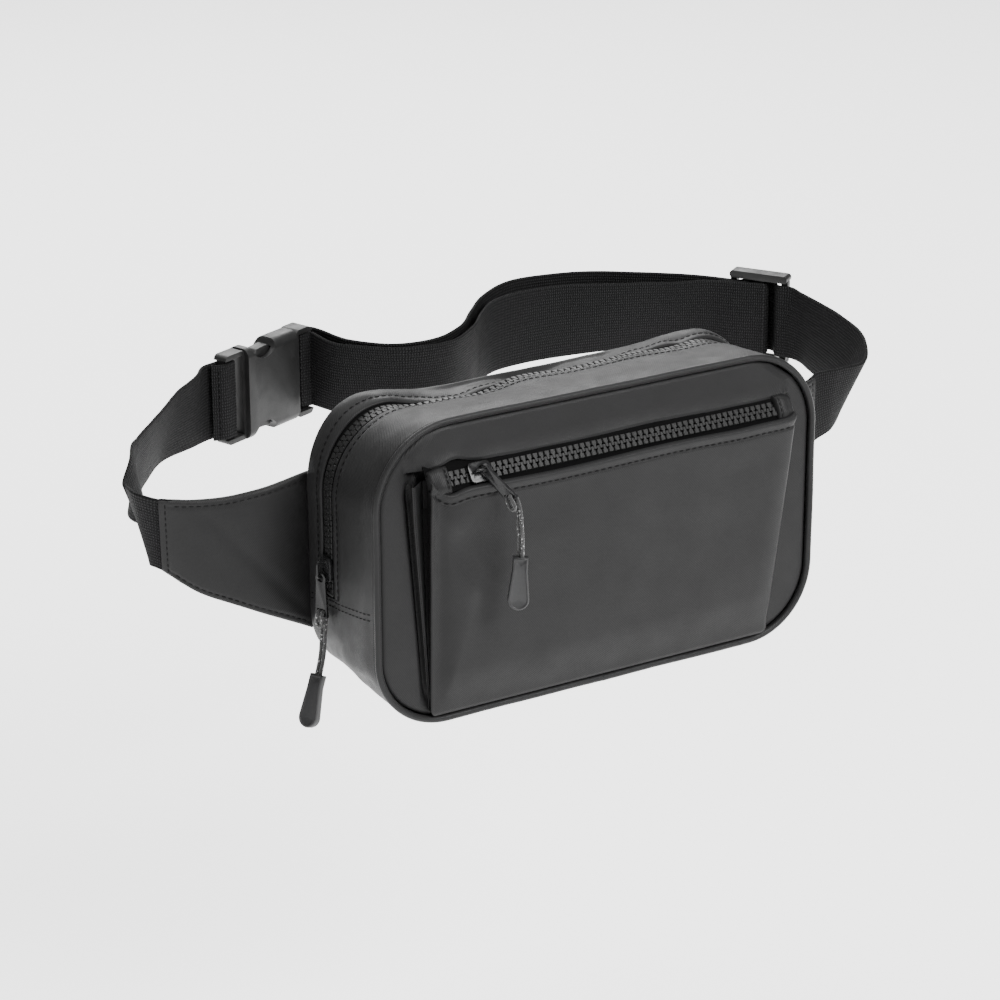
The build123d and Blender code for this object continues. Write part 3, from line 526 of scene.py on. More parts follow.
def zip_sway(s):
    """How far the main zip wanders towards the front, and outwards, along the top."""
    free = ease((s - TOP_START - 4) / 22) * ease((TOP_END + 10 - s) / 25)
    forward = free * (2.6 + 1.1 * np.sin((s - TOP_START) / 13.5) + 0.6 * np.sin((s - TOP_START) / 7.3 + 1.0))
    out = (0.7 * free * np.sin((s - TOP_START) / 9.5 + 2.2)
           - 3.6 * (bell(s, TOP_START + 8, 14) + bell(s, TOP_START + 38, 14)))
    return forward, out


def wall_shape(s, h):
    """How far the cloth of the wall stands out from its plain shape."""
    over_top = ease((s - TOP_START + 18) / 30) * ease((TOP_END + 20 - s) / 30)
    near_zip = bell(h, ZIP_HEIGHT, 13)
    _, out = zip_sway(s)
    bulge = out * near_zip
    # the rear edge stands out at the two top corners and sinks between them
    at = s - TOP_START
    edge = 5.6 * bell(at, -20, 24) - 5.0 * bell(at, 72, 44) + 4.2 * bell(at, ACROSS + 22, 24)
    bulge = bulge + edge * ease(h / 4.5) * ease((ZIP_HEIGHT + 1 - h) / 15)
    # the rear strip of the top is slack, with folds that run down from the zip
    slack = over_top * ease((ZIP_HEIGHT - h) / 8) * ease(h / 7)
    bulge = bulge + slack * (1.0 * np.sin((s - TOP_START) / 7.0 + h * 0.10) + 0.9 * wave_noise(s, h, 3, 0.09))
    front_part = ease((h - ZIP_HEIGHT - 4) / 8) * ease((DEPTH - 2 - h) / 9)
    bulge = bulge + front_part * (0.5 + 0.35 * wave_noise(s, h, 7, 0.035))
    bulge = bulge + 0.7 * over_top * bell(h, ZIP_HEIGHT + 6.5, 4) * ease((h - ZIP_HEIGHT - 3.5) / 1.5)
    lower = ease((LEFT_FOOT + 12 - s) / 25) * ease(h / 10) * ease((DEPTH - 3 - h) / 10)
    crease = bell(s - 0.55 * (h - 30), LEFT_FOOT - 6, 3.2) * 0.9
    crease = crease + bell(s - 0.3 * (h - 30), LEFT_FOOT - 22, 4.0) * 0.7
    bulge = bulge + lower * (0.35 * wave_noise(s, h, 11, 0.06) - crease)
    bulge = bulge + 0.10 * wave_noise(s, h, 5, 0.13)
    return bulge


def wall_point(s, h, inset):
    """Point of the sewn wall with its sag and folds."""
    forward, _ = zip_sway(s)
    shifted = h + forward * bell(h, ZIP_HEIGHT, 9)
    place, _ = rim(s, shifted, inset)
    bulge = wall_shape(np.asarray(s, float), np.asarray(h, float))
    _, out = rim(s, h, inset)
    return place + out * bulge[..., None], out


def wall_piece(name, s_low, s_high, profile, steps, slot_name, mat, node):
    """Panel of the wall: a closed loop of (height, inset) swept along the outline between two seams."""
    h = np.array([p[0] for p in profile], float)[None, :]
    inset = np.array([p[1] for p in profile], float)[None, :]
    t = np.linspace(0, 1, steps)[:, None]
    s = s_low(h) + (s_high(h) - s_low(h)) * t
    points, _ = wall_point(s, h, inset)
    girth = np.concatenate([[0], np.cumsum(np.hypot(np.diff(h[0]), np.diff(inset[0])))])
    obj = loop_mesh(name, points, pairs(s, girth[None, :]), flip=True)
    return finish_piece(obj, "pack", slot_name, mat, node)


def line(start, end, step=1.6):
    """Points from start to end, both ends kept."""
    start, end = np.array(start), np.array(end)
    count = max(2, int(math.dist(start, end) / step) + 1)
    return [tuple(start + (end - start) * k / (count - 1)) for k in range(count)]


def left_seam(h):
    """s of the side seam on the left, on its slope from the zip to the piping."""
    return LEFT_FOOT + (SEAM_Z + SEAM_SLOPE * (h - ZIP_HEIGHT) + HEIGHT / 2 - R_BOTTOM)


def right_seam(h):
    return ROUND - left_seam(h)


FRONT_EDGE = [(61.6, 0.85), (62.5, 1.15), (63.0, 1.9), (62.8, 2.7)]


def zip_fold(side):
    """Folded edge beside the zip, from its stitch groove round to the inside; side is +1 in front."""
    section = ((5.0, WALL_INSET + 0.22), (ZIP_STITCH, WALL_INSET + 0.38), (3.4, WALL_INSET + 0.2),
               (2.0, WALL_INSET - 0.1), (0.8, WALL_INSET), (0.2, 1.0), (0, 1.5), (0.2, 2.0), (0.8, 2.2))
    fold = ZIP_HEIGHT + side * FOLD_GAP
    return fold, [(fold + side * away, inset) for away, inset in section]


def front_hem():
    """Front gusset's section: from the piping to the fold beside the zip, and back inside."""
    fold, turned = zip_fold(1)
    outer = FRONT_EDGE[::-1] + line((61.0, WALL_INSET), (fold + 6.4, WALL_INSET))
    return outer + turned + line((fold + 3, 2.1), (61.0, 2.1), 6)


def rear_hem():
    """Rear gusset's section: from the fold beside the zip, over the back and inside again."""
    fold, turned = zip_fold(-1)
    outer = turned[::-1] + line((fold - 6.4, WALL_INSET), (ROLL + 0.8, WALL_INSET))
    return outer + roll_in(0) + roll_in(CLOTH)[::-1] + line((ROLL + 1, 2.0), (fold - 2, 2.1), 5)


def roll_in(depth):
    """Quarter turn of the gusset over the back."""
    radius = ROLL - depth
    return [(ROLL - radius * math.sin(a), WALL_INSET + ROLL - radius * math.cos(a))
            for a in (math.pi / 2 * k / 8 for k in range(9))]


def bottom_section():
    """Bottom gusset's section: one width of cloth from the piping to the back."""
    outer = FRONT_EDGE[::-1] + line((61.0, WALL_INSET), (ROLL + 0.8, WALL_INSET))
    return outer + roll_in(0) + roll_in(CLOTH)[::-1] + line((ROLL + 1, 2.0), (61.0, 2.1), 5)


def wall_line(s, h, lift=0.0):
    """Points and outward directions on the wall's outer face, for stitches."""
    s, h = np.broadcast_arrays(np.asarray(s, float), np.asarray(h, float))
    return wall_point(s, h, WALL_INSET - lift)


def make_wall():
    for name, start, end, section, steps in (
        ("front_gusset", left_seam, right_seam, front_hem(), 230),
        ("rear_gusset", left_seam, right_seam, rear_hem(), 260),
        ("bottom_gusset", low_seam, left_seam, bottom_section(), 190),
    ):
        wall_piece(f"{name}_cloth", start, end, section, steps, "shell_cloth", SHELL, name)
    s = np.linspace(left_seam(ZIP_HEIGHT) + 1, right_seam(ZIP_HEIGHT) - 1, 500)
    for name, side in (("front", 1), ("rear", -1)):
        points, out = wall_line(s, ZIP_HEIGHT + side * (FOLD_GAP + ZIP_STITCH), -0.28)
        stitches(f"{name}_zip_stitch", points, out, 2.3, 1.0, 0.42)
    h = np.linspace(4, 61, 60)
    for name, seam, sign in (("left", left_seam, -1), ("right", right_seam, 1)):
        for row, drop in enumerate((1.6, 4.4)):
            points, out = wall_line(seam(h) + sign * drop, h, 0.0)
            stitches(f"side_seam_stitch_{name}_{row}", points, out, 2.3, 1.0, 0.4)


def low_seam(h):
    """The right seam, counted backwards through the middle of the bottom."""
    return right_seam(h) - ROUND


def make_piping():
    """Fabric-covered piping all round the front edge."""
    steps, around = 560, 14
    s = np.linspace(0, ROUND, steps, endpoint=False)[:, None]
    turn = np.linspace(0, 2 * math.pi, around, endpoint=False)[None, :]
    radius = PIPING_R * (1 + 0.04 * wave_noise(s, turn, 21, 0.15))
    inset = PIPING_R - radius * np.sin(turn)
    place, _ = rim(s, DEPTH + radius * np.cos(turn), inset)
    _, out = rim(s, DEPTH, inset)
    place = place + out * (0.35 * wave_noise(s, 0, 23, 0.03))[..., None]
    obj = loop_mesh("piping_bead", place, pairs(s, turn * PIPING_R), wrap=True)
    finish_piece(obj, "pack", "piping", PIPING, "piping_cover", "piping_core")


def rounded_panel(across, z, half_w, half_h, rt, rb):
    """Grid over a panel with rounded corners: places across and up, and their depth inside its outline.
    The shares across run from -1 to 1."""
    over = np.clip(z - (half_h - rt), 0, rt)
    under = np.clip(-z - (half_h - rb), 0, rb)
    x = across * (half_w - (rt - np.sqrt(rt**2 - over**2)) - (rb - np.sqrt(rb**2 - under**2)))
    z = z + 0 * x
    r = np.where(z > 0, rt, rb)
    qx, qz = np.abs(x) - half_w + r, np.abs(z) - half_h + r
    outside = np.minimum(np.maximum(qx, qz), 0) + np.hypot(np.maximum(qx, 0), np.maximum(qz, 0)) - r
    return x, z, np.clip(-outside, 0, None)


def make_front_panel():
    """Front panel: slightly crowned, its edge tucked under the piping, with a welt over the pocket's zip."""
    inset = 2 * PIPING_R - 0.1
    edge = HEIGHT / 2 - inset
    z = np.concatenate([-edge + 3.0 * (1 - np.cos(np.linspace(0, math.pi / 2, 8)))[:-1],
                        np.linspace(-edge + 3, 44, 60)[:-1], np.linspace(44, 56, 61)[:-1],
                        edge - 3.0 * (1 - np.cos(np.linspace(math.pi / 2, 0, 12)))])[:, None]
    across = np.sin(np.linspace(-math.pi / 2, math.pi / 2, 420))[None, :]
    x, z, d = rounded_panel(across, z, WIDTH / 2 - inset, edge, R_TOP - inset, R_BOTTOM - inset)
    tuck = 2.3 * (1 - rounded(d, 2.6))
    crown = 1.3 * (1 - np.exp(-d / 14)) + 0.35 * wave_noise(x, z, 31, 0.02) * ease(d / 12)
    within = ease((POCKET_TOP_HALF + 3 - np.abs(x)) / 6)
    brim = 48.8 + 2.6 * bell(x, -77, 6.5) + 0.5 * np.sin(x / 15)
    welt = 3.1 * within * ease((z - brim) / 0.6) * np.exp(-np.clip(z - brim - 1.8, 0, None) / 7)
    welt = welt * (1 + 0.12 * wave_noise(x, 0 * z, 33, 0.05))
    recess = 2.4 * within * ease((brim + 0.3 - z) / 0.6) * ease((z - 30) / 8)
    up = np.clip((z - POCKET_BOTTOM) / POCKET_RUN, 0, 1)
    beside = pocket_half(up * POCKET_LENGTH) + 0.6
    groove = 3.2 * ease(up / 0.15) * bell(x, -beside, 1.7) * ease((46 - z) / 5)
    hollow = 2.4 * bell(x, -POCKET_TOP_HALF + 3, 5) * bell(z, 49, 3.2)
    y = -DEPTH + 0.1 + tuck - crown - welt + recess + groove + hollow
    front = np.stack([x, y, z], -1)
    back = np.stack([x * 0.995, np.maximum(y + CLOTH, -DEPTH + 0.4), z * 0.995], -1)
    obj = sheet_mesh("front_panel_cloth", front, back, pairs(x, z))
    finish_piece(obj, "pack", "shell_cloth", SHELL, "front_panel")


def make_back():
    """Padded back panel, quilted by its edge seam."""
    inset = WALL_INSET + ROLL + 0.3
    top = HEIGHT / 2 - TOP_SAG - inset
    bottom = -HEIGHT / 2 + BOTTOM_RISE + inset
    middle, half_h = (top + bottom) / 2, (top - bottom) / 2
    w = np.sin(np.linspace(-math.pi / 2, math.pi / 2, 70))[:, None] * half_h
    across = np.sin(np.linspace(-math.pi / 2, math.pi / 2, 110))[None, :]
    x, w, d = rounded_panel(across, w, WIDTH / 2 - inset, half_h, R_TOP - inset, R_BOTTOM - inset)
    puff = 1.6 * rounded(d, 9) + 0.3 * wave_noise(x, w, 41, 0.03)
    y = -1.2 + puff * ease(d / 3 + 0.15)
    front = np.stack([x, y, w + middle], -1)
    back = np.stack([x * 0.99, np.full_like(x, -CLOTH - 0.4), (w * 0.99) + middle], -1)
    obj = sheet_mesh("back_panel_pad", front, back, pairs(x, w), flip=True)
    finish_piece(obj, "pack", "shell_cloth", LINING, "back_panel", "back_foam")


# ---- front pocket ----

POCKET_RUN = POCKET_TOP - POCKET_BOTTOM
POCKET_BASE_Y = -DEPTH - POCKET_FOOT
POCKET_DROP = POCKET_LIFT - POCKET_FOOT
POCKET_LENGTH = math.hypot(POCKET_RUN, POCKET_DROP)
POCKET_UP = np.array([0, -POCKET_DROP, POCKET_RUN]) / POCKET_LENGTH
POCKET_OUT = np.array([0, -POCKET_RUN, -POCKET_DROP]) / POCKET_LENGTH
POCKET_CORNER = 4.0


def pocket_half(b):
    """Half width of the pocket at a distance b up from its bottom edge."""
    straight = POCKET_BOTTOM_HALF + (POCKET_TOP_HALF - POCKET_BOTTOM_HALF) * b / POCKET_LENGTH
    under = np.clip(POCKET_CORNER - b, 0, POCKET_CORNER)
    return straight - (POCKET_CORNER - np.sqrt(POCKET_CORNER**2 - under**2))


def pocket_edge(a, b):
    """Half width of the pocket's face: on the left it stands in from the bellows."""
    return pocket_half(b) - np.where(a < 0, 4.6 * np.clip(b / POCKET_LENGTH, 0, 1), 0)


def pocket_stand(a, b):
    """How far the pocket's cloth stands out over its flat shape."""
    half = pocket_edge(a, b)
    high = np.clip(b / POCKET_LENGTH, 0, 1)
    from_left, from_right = half + a, half - a
    # the right edge is a plain fold; the left one falls away softly towards the bellows
    right = rounded(from_right, 12)
    left = ease(from_left / (5 + 30 * high))
    crown = 2.6 * right * left * ease(b / 24) * (1 - 0.35 * ease((b - 75) / 30))
    trough = -(0.3 + 1.7 * high) * bell(from_left, 4.5, 3.4) * ease(high / 0.12)
    lip = 0.6 * bell(b, POCKET_LENGTH - 1.2, 1.6) - 0.5 * bell(b, POCKET_LENGTH - LIP_STITCH, 0.7)
    # soft folds that fall away from the lip's left end
    down = POCKET_LENGTH - b
    knee = 1.3 * bell(a, -80, 8) * bell(down, 15, 8)
    valley = -1.5 * bell(a + 66 + 0.55 * np.clip(48 - down, 0, 60), 0, 6.5)
    valley = valley * ease((down - 10) / 12) * ease((80 - down) / 40)
    sag = -0.9 * bell(a, 60 + 0.2 * down, 14) * ease((down - 6) / 15) * ease((70 - down) / 30)
    loose = 0.6 * wave_noise(a, b, 51, 0.018) + 0.3 * wave_noise(a, b, 53, 0.045)
    fade = ease(down / 8) * ease(b / 10)
    return crown + trough + lip + (knee + valley + sag + loose) * fade


def lip_shift(a):
    """Small rises and dips of the lip along the pocket."""
    return (5.6 * bell(a, -POCKET_TOP_HALF + 4.5, 4.5) - 2.0 * bell(a, -POCKET_TOP_HALF + 14, 6)
            + 0.5 * np.sin(a / 17) * ease((80 - np.abs(a)) / 20) + 1.2 * bell(a, POCKET_TOP_HALF, 3) + 1.8)


def pocket_point(a, b):
    """Point on the pocket's outer face."""
    a, b = np.broadcast_arrays(np.asarray(a, float), np.asarray(b, float))
    base = np.array([0, POCKET_BASE_Y, POCKET_BOTTOM])
    stand = CLOTH + pocket_stand(a, b)
    rise = b + lip_shift(a) * np.clip(b / POCKET_LENGTH, 0, 1) ** 5
    return (base + a[..., None] * np.array([1, 0, 0]) + rise[..., None] * POCKET_UP
            + stand[..., None] * POCKET_OUT)


def make_pocket():
    bottom = 0.15
    b = np.concatenate([bottom + 8 * (1 - np.cos(np.linspace(0, math.pi / 2, 14)))[:-1],
                        np.linspace(8 + bottom, POCKET_LENGTH - 8, 70)[:-1],
                        np.linspace(POCKET_LENGTH - 8, POCKET_LENGTH, 30)])[:, None]
    c = np.sin(np.linspace(-math.pi / 2, math.pi / 2, 260))[None, :]
    half = pocket_edge(c, b + 0 * c)
    a = c * half
    b = b + 0 * a
    near = rounded(half - np.abs(a), np.where(a > 0, 2.4, 0.9))
    roll = np.where(a > 0, 2.2, 0.8) * (1 - near) * ease(b / 12)
    low = 1.6 * (1 - rounded(b, 2.5))
    top = 0.9 * (1 - rounded(POCKET_LENGTH - b, 1.0))
    front = pocket_point(a, b) - ((roll + low + top)[..., None]) * POCKET_OUT
    stand = CLOTH + pocket_stand(a, b) - roll - low - top
    thick = np.clip(stand + 0.9 + 8.0 * np.clip(b / POCKET_LENGTH, 0, 1), 0.3, CLOTH)
    back = front - thick[..., None] * POCKET_OUT
    back = back * np.array([0.997, 1, 1])
    obj = sheet_mesh("pocket_cloth", front, back, pairs(a, b))
    finish_piece(obj, "pack", "shell_cloth", SHELL, "pocket_panel")
    # topstitch under the lip
    run = np.linspace(-POCKET_TOP_HALF + 6, POCKET_TOP_HALF - 2, 300)
    points = pocket_point(run, POCKET_LENGTH - LIP_STITCH)
    stitches("pocket_lip_stitch", points, np.tile(POCKET_OUT, (len(run), 1)), 2.3, 1.1, 0.5)
    for side, name in ((-1, "left"), (1, "right")):
        pocket_side(side, name)


BELLOWS = (
    ((0, 0.0, 0.3), (0.5, 3.4, 0.5), (1, 0.0, 1.0)),
    ((0, 5.4, 0.3), (0.35, 7.6, 0.5), (0.9, 7.4, 0.6), (0.94, 5.0, 0.6), (0.48, -1.0, 0.3), (0.44, -1.4, 0.1),
     (0.48, -1.9, 0.0), (0.94, 0.6, 0.3), (1, 0.6, 0.9)),
)


def pocket_side(side, name):
    """Bellows at the pocket's side: pleated in between the pocket and the front panel. A profile's points are
    the share of the depth, the tuck at the top and the tuck everywhere."""
    b = np.linspace(3, POCKET_LENGTH - 1.0, 70)[:, None]
    share = b / POCKET_LENGTH
    deep = -DEPTH + 0.3
    face = POCKET_BASE_Y - POCKET_DROP * share - 0.6
    places = np.array(BELLOWS[side < 0])
    along = np.linspace(0, len(places) - 1, 8 * len(places) - 7)
    t, tall, always = (np.interp(along, range(len(places)), column)[None, :] for column in places.T)
    fold = tall * share + always
    x = side * (pocket_half(b) - fold)
    y = face + (deep - face) * t
    z = POCKET_BOTTOM + b * POCKET_RUN / POCKET_LENGTH + 0 * t
    z = z + (side < 0) * 5.5 * ease((share - 0.88) / 0.12)
    front = np.stack([x, y, z], -1)
    back = front - np.array([side * 0.7, 0, 0])
    obj = sheet_mesh(f"pocket_bellows_{name}", front, back, pairs(z, y), flip=side > 0)
    finish_piece(obj, "pack", "shell_cloth", SHELL, f"pocket_gusset_{name}")


# ---- zips ----

HALF_TOOTH = ((-0.8, -0.55), (-0.55, -0.8), (0.5, -0.8), (0.85, -0.7), (1.15, -0.8), (1.5, -1.3),
              (3.35, -1.3))
TOOTH_OUTLINE = HALF_TOOTH + tuple((reach, -side) for reach, side in reversed(HALF_TOOTH))
TOOTH_LAYERS = ((-1.25, 0.78), (-1.0, 1.0), (1.0, 1.0), (1.3, 0.74))
TOOTH_CENTRE = 1.3


def tooth_row(chain, row, places):
    """Moulded teeth: each place is (middle of the chain, along, towards the tape, outwards)."""
    verts, faces = [], []
    count = len(TOOTH_OUTLINE)
    for place, along, tape, out in places:
        base = len(verts)
        for level, scale in TOOTH_LAYERS:
            for reach, side in TOOTH_OUTLINE:
                reach = TOOTH_CENTRE + (reach - TOOTH_CENTRE) * (1 - (1 - scale) * 0.4)
                verts.append(place + tape * reach + along * side * scale + out * level)
        faces += grid_faces(len(TOOTH_LAYERS), count, wrap_columns=True, start=base)
        faces.append(tuple(base + k for k in range(count - 1, -1, -1)))
        top = base + (len(TOOTH_LAYERS) - 1) * count
        faces.append(tuple(top + k for k in range(count)))
    obj = mesh_object(f"{chain}_teeth_{row}", verts, faces, sharp=35)
    face_outwards(obj.data)
    finish_piece(obj, "pack", "zip_teeth", TEETH, f"{chain}_zip_teeth_{row}")


ZIP_INSET = WALL_INSET + CLOTH + 0.3
ZIP_BOTTOM = SEAM_Z + 1.5


def chain_places(shift, side):
    """Places of one row of the main zip's teeth; side is +1 for the row towards the front."""
    start = LEFT_FOOT + ZIP_BOTTOM + HEIGHT / 2 - R_BOTTOM
    end = ROUND - start
    count = int((end - start) / TOOTH_PITCH)
    s = start + (np.arange(count) + shift) * TOOTH_PITCH
    h = np.full_like(s, ZIP_HEIGHT)
    place, out = wall_point(s, h, ZIP_INSET)
    ahead, _ = wall_point(s + 0.5, h, ZIP_INSET)
    behind, _ = wall_point(s - 0.5, h, ZIP_INSET)
    along = ahead - behind
    along /= np.linalg.norm(along, axis=1)[:, None]
    tape = np.cross(along, out) * side
    tape *= np.sign(-tape[:, 1:2]) * side
    return list(zip(place, along, tape, out))


def make_main_zip():
    tooth_row("main", "front", chain_places(0.75, 1))
    tooth_row("main", "rear", chain_places(1.25, -1))
    for name, side in (("front", 1), ("rear", -1)):
        tooth_edge = ZIP_HEIGHT + side * 2.9
        far = ZIP_HEIGHT + side * 12
        profile = [
            (tooth_edge + side * 0.3, ZIP_INSET + 0.75), (tooth_edge - side * 0.3, ZIP_INSET),
            (tooth_edge + side * 0.3, ZIP_INSET - 0.75), (tooth_edge + side * 1.0, ZIP_INSET - 0.35),
            (far, ZIP_INSET - 0.25), (far, ZIP_INSET + 0.3), (tooth_edge + side * 1.0, ZIP_INSET + 0.35),
        ]
        if side < 0:
            profile = profile[::-1]
        obj = wall_piece(f"main_tape_{name}", left_seam, right_seam, profile, 240, "zip_tape", TAPE,
                         f"main_zip_tape_{name}")
        face_outwards(obj.data)
    for side in ("left", "right"):
        soften(f"main_stop_{side}", f"main_zip_stop_{side}", 0.4, 2, "pack", "zip_teeth", TEETH)


ZIP_OUT = np.array([0, -math.cos(POCKET_TILT), math.sin(POCKET_TILT)])
ZIP_UP = np.array([0, math.sin(POCKET_TILT), math.cos(POCKET_TILT)])
ALONG_X = np.array([1.0, 0, 0])


def pocket_chain(shift, side):
    count = int((POCKET_RIGHT - POCKET_LEFT) / TOOTH_PITCH)
    places = []
    for tooth in range(count):
        x = POCKET_LEFT + (tooth + shift) * TOOTH_PITCH
        place = np.array(POCKET_ZIP) + ALONG_X * x + ZIP_OUT * pocket_chain_lift(x)
        places.append((place, ALONG_X, ZIP_UP * side, ZIP_OUT))
    return places


def pocket_chain_lift(x):
    """Slight wander of the pocket's chain, outwards and back."""
    return 0.04 * math.sin(x / 9.0)


def make_pocket_zip():
    tooth_row("pocket", "upper", pocket_chain(0.25, 1))
    tooth_row("pocket", "lower", pocket_chain(0.75, -1))
    middle = (POCKET_LEFT + POCKET_RIGHT) / 2
    half = (POCKET_RIGHT - POCKET_LEFT) / 2 + 8
    for name, low, high in (("upper", 2.9, 10.0), ("lower", -5.5, -2.9)):
        x = np.linspace(middle - half, middle + half, 90)[:, None]
        t = np.linspace(0, 1, 9)[None, :]
        across = low + (high - low) * t
        inner = 1 - t if name == "upper" else t
        bead = 0.45 * np.exp(-((1 - inner) * abs(high - low) / 0.7) ** 2)
        base = (np.array(POCKET_ZIP) + x[..., None] * ALONG_X + across[..., None] * ZIP_UP
                + (0.08 * np.sin(x / 9.0) + 0 * t)[..., None] * ZIP_OUT)
        front = base + (0.3 + bead)[..., None] * ZIP_OUT
        back = base - (0.3 + bead)[..., None] * ZIP_OUT
        obj = sheet_mesh(f"pocket_tape_{name}", front, back, pairs(x, across), flip=True)
        finish_piece(obj, "pack", "zip_tape", TAPE, f"pocket_zip_tape_{name}")
    for side, name, x in ((-1, "left", POCKET_LEFT - 2.6), (1, "right", POCKET_RIGHT + 5.2)):
        end_tab(name, x, side)


def end_tab(name, x, side):
    """Folded cloth tab over the zip's end: puffed up, its outer end turned down into the seam."""
    u = np.linspace(-5, 5, 31)[:, None]
    v = np.linspace(-6, 6, 37)[None, :]
    edge_u = 5 - np.abs(u)
    edge_v = 6 - np.abs(v)
    outer = ease((u * side + 1) / 6)
    round_u = rounded(edge_u, 1.5)
    round_v = rounded(edge_v, 3.2)
    puff = 2.5 * round_u * round_v + 0.25 * wave_noise(u, v, 61 + side, 0.22)
    droop = -1.5 * outer - 0.7 * ease(-v / 6)
    seam = -0.5 * bell(u * side, -2.9, 0.5) * round_v
    narrowed = v * (1 - 0.12 * outer)
    base = np.array(POCKET_ZIP) + (x + u)[..., None] * ALONG_X + narrowed[..., None] * ZIP_UP
    height = np.maximum(0.8 + puff + droop + seam, 0.1 + droop)
    front = base + height[..., None] * ZIP_OUT
    back = base + (np.minimum(0.2, height - 0.15) + 0 * puff)[..., None] * ZIP_OUT
    obj = sheet_mesh(f"pocket_end_{name}", front, back, pairs(x + u, v), flip=True)
    finish_piece(obj, "pack", "shell_cloth", SHELL, f"pocket_zip_end_tab_{name}")
    row = int(np.argmin(np.abs(u[:, 0] * side + 2.9)))
    points = front[row, 3:-3]
    stitches(f"pocket_end_stitch_{name}", points, np.tile(ZIP_OUT, (len(points), 1)), 1.7, 0.8, 0.4)


# ---- pulls ----

HITCH = ((0.95, -1.2, 5.2), (0.95, -1.95, -1.95), (1.05, 1.95, -1.95), (1.9, 1.95, 4.7))
MAIN_LEG = ((0.95, 3.6, 27.3), (0.95, 0.5, 20.0), (0.95, -0.3, 12.5))
POCKET_LEG = ((0.95, 0.0, 19.0), (0.95, -0.5, 12.5), (0.95, 0.2, 6.0))
DOWN = Vector((0, 0, -1))
TWIST = math.radians(25)
MAIN_BAR_DIR = Vector((math.sin(TWIST), -math.cos(TWIST), 0))
MAIN_OUT = Vector((-math.cos(TWIST), -math.sin(TWIST), 0))
MAIN_BAR = Vector((-117.7, -ZIP_HEIGHT, -27.55))
POCKET_TAB_DIR = Vector((0.51, -0.44, -0.735)).normalized()
POCKET_TAB_FACE = Vector((0.83, 0.47, 0.29))
POCKET_TAB_FACE = (POCKET_TAB_FACE - POCKET_TAB_DIR * POCKET_TAB_FACE.dot(POCKET_TAB_DIR)).normalized()
POCKET_BAR_DIR = POCKET_TAB_FACE.cross(POCKET_TAB_DIR)
POCKET_PIVOT = POCKET_ZIP + Vector((POCKET_SLIDER_X, 0, 0)) + Vector(ZIP_OUT) * TAB_PIVOT
POCKET_BAR = POCKET_PIVOT + POCKET_TAB_DIR * TAB_BAR_DROP


def doubled(bar, along, out, down, leg):
    """Points of a doubled cord: up one leg, round the bar, and down the other leg."""
    other = [(-a, o, d) for a, o, d in reversed(leg)]
    return [bar + along * a + out * o + down * d for a, o, d in list(leg) + other]


def pull_cord(pull, route):
    """Doubled cord hitched over the tab's bar, its two ends inside the grip."""
    name = f"{pull}_cord_loop"
    curve = bpy.data.curves.new(name, "CURVE")
    curve.dimensions = "3D"
    curve.bevel_depth = CORD_D / 2 * MM
    curve.bevel_resolution = 3
    curve.resolution_u = 8
    curve.use_fill_caps = True
    spline = curve.splines.new("NURBS")
    spline.points.add(len(route) - 1)
    for point, place in zip(spline.points, route):
        point.co = (*(place * MM), 1)
    spline.order_u = 3
    spline.use_endpoint_u = True
    obj = new_object(name, curve)
    finish_piece(obj, f"{pull}_cord", "cord", CORD, f"{pull}_pull_cord")


def pull_grip(pull, top, axis, across):
    """Moulded rubber grip with a rounded rim and a slightly sunk face."""
    across = (across - axis * across.dot(axis)).normalized()
    out = axis.cross(across)
    shape = []
    radius, tip = 4.7, GRIP_LENGTH - 4.7
    for k in range(5):
        shape.append((-3.3, 6.0 * k / 4))
    lean = math.atan2(radius - 3.3, tip - 6)
    for k in range(25):
        angle = math.pi + lean - (math.pi + 2 * lean) * k / 24
        shape.append((radius * math.cos(angle), tip + radius * math.sin(angle)))
    for k in range(5):
        shape.append((3.3, 6.0 * (4 - k) / 4))
    shape = np.array(shape)
    layers = [(1.65, 0.0), (1.65, 0.62), (1.75, 0.70), (2.1, 0.76), (2.1, 0.86), (1.85, 0.95), (1.2, 1.0)]
    layers += [(-level, scale) for level, scale in reversed(layers)]
    verts = []
    for level, scale in layers:
        wave = 0.35 * np.sin(shape[:, 1] / GRIP_LENGTH * math.pi * 1.6)
        for index, (u, v) in enumerate(shape):
            inset = (1 - scale) * 3.3
            du = -np.sign(u) * min(abs(u), inset) if abs(u) > 0 else 0
            dv = 0
            if v > tip:
                gone = np.array([u, v - tip]) / max(np.hypot(u, v - tip), 1e-6)
                du, dv = -gone[0] * inset, -gone[1] * inset
            elif v < 1e-6:
                dv = min(inset, 1.2)
            if scale == 0.0:
                du, dv = -u, (min(max(v, 4), tip) - v)
            verts.append(top + across * (u + du) + axis * (v + dv) + out * (level + wave[index]))
    count = len(shape)
    faces = grid_faces(len(layers), count, wrap_columns=True)
    obj = mesh_object(f"{pull}_grip", verts, faces, sharp=60)
    closed = bmesh.new()
    closed.from_mesh(obj.data)
    bmesh.ops.remove_doubles(closed, verts=closed.verts, dist=1e-7)
    bmesh.ops.holes_fill(closed, edges=closed.edges)
    closed.to_mesh(obj.data)
    closed.free()
    face_outwards(obj.data)
    return finish_piece(obj, f"{pull}_cord", "grip", GRIP, f"{pull}_pull_grip")


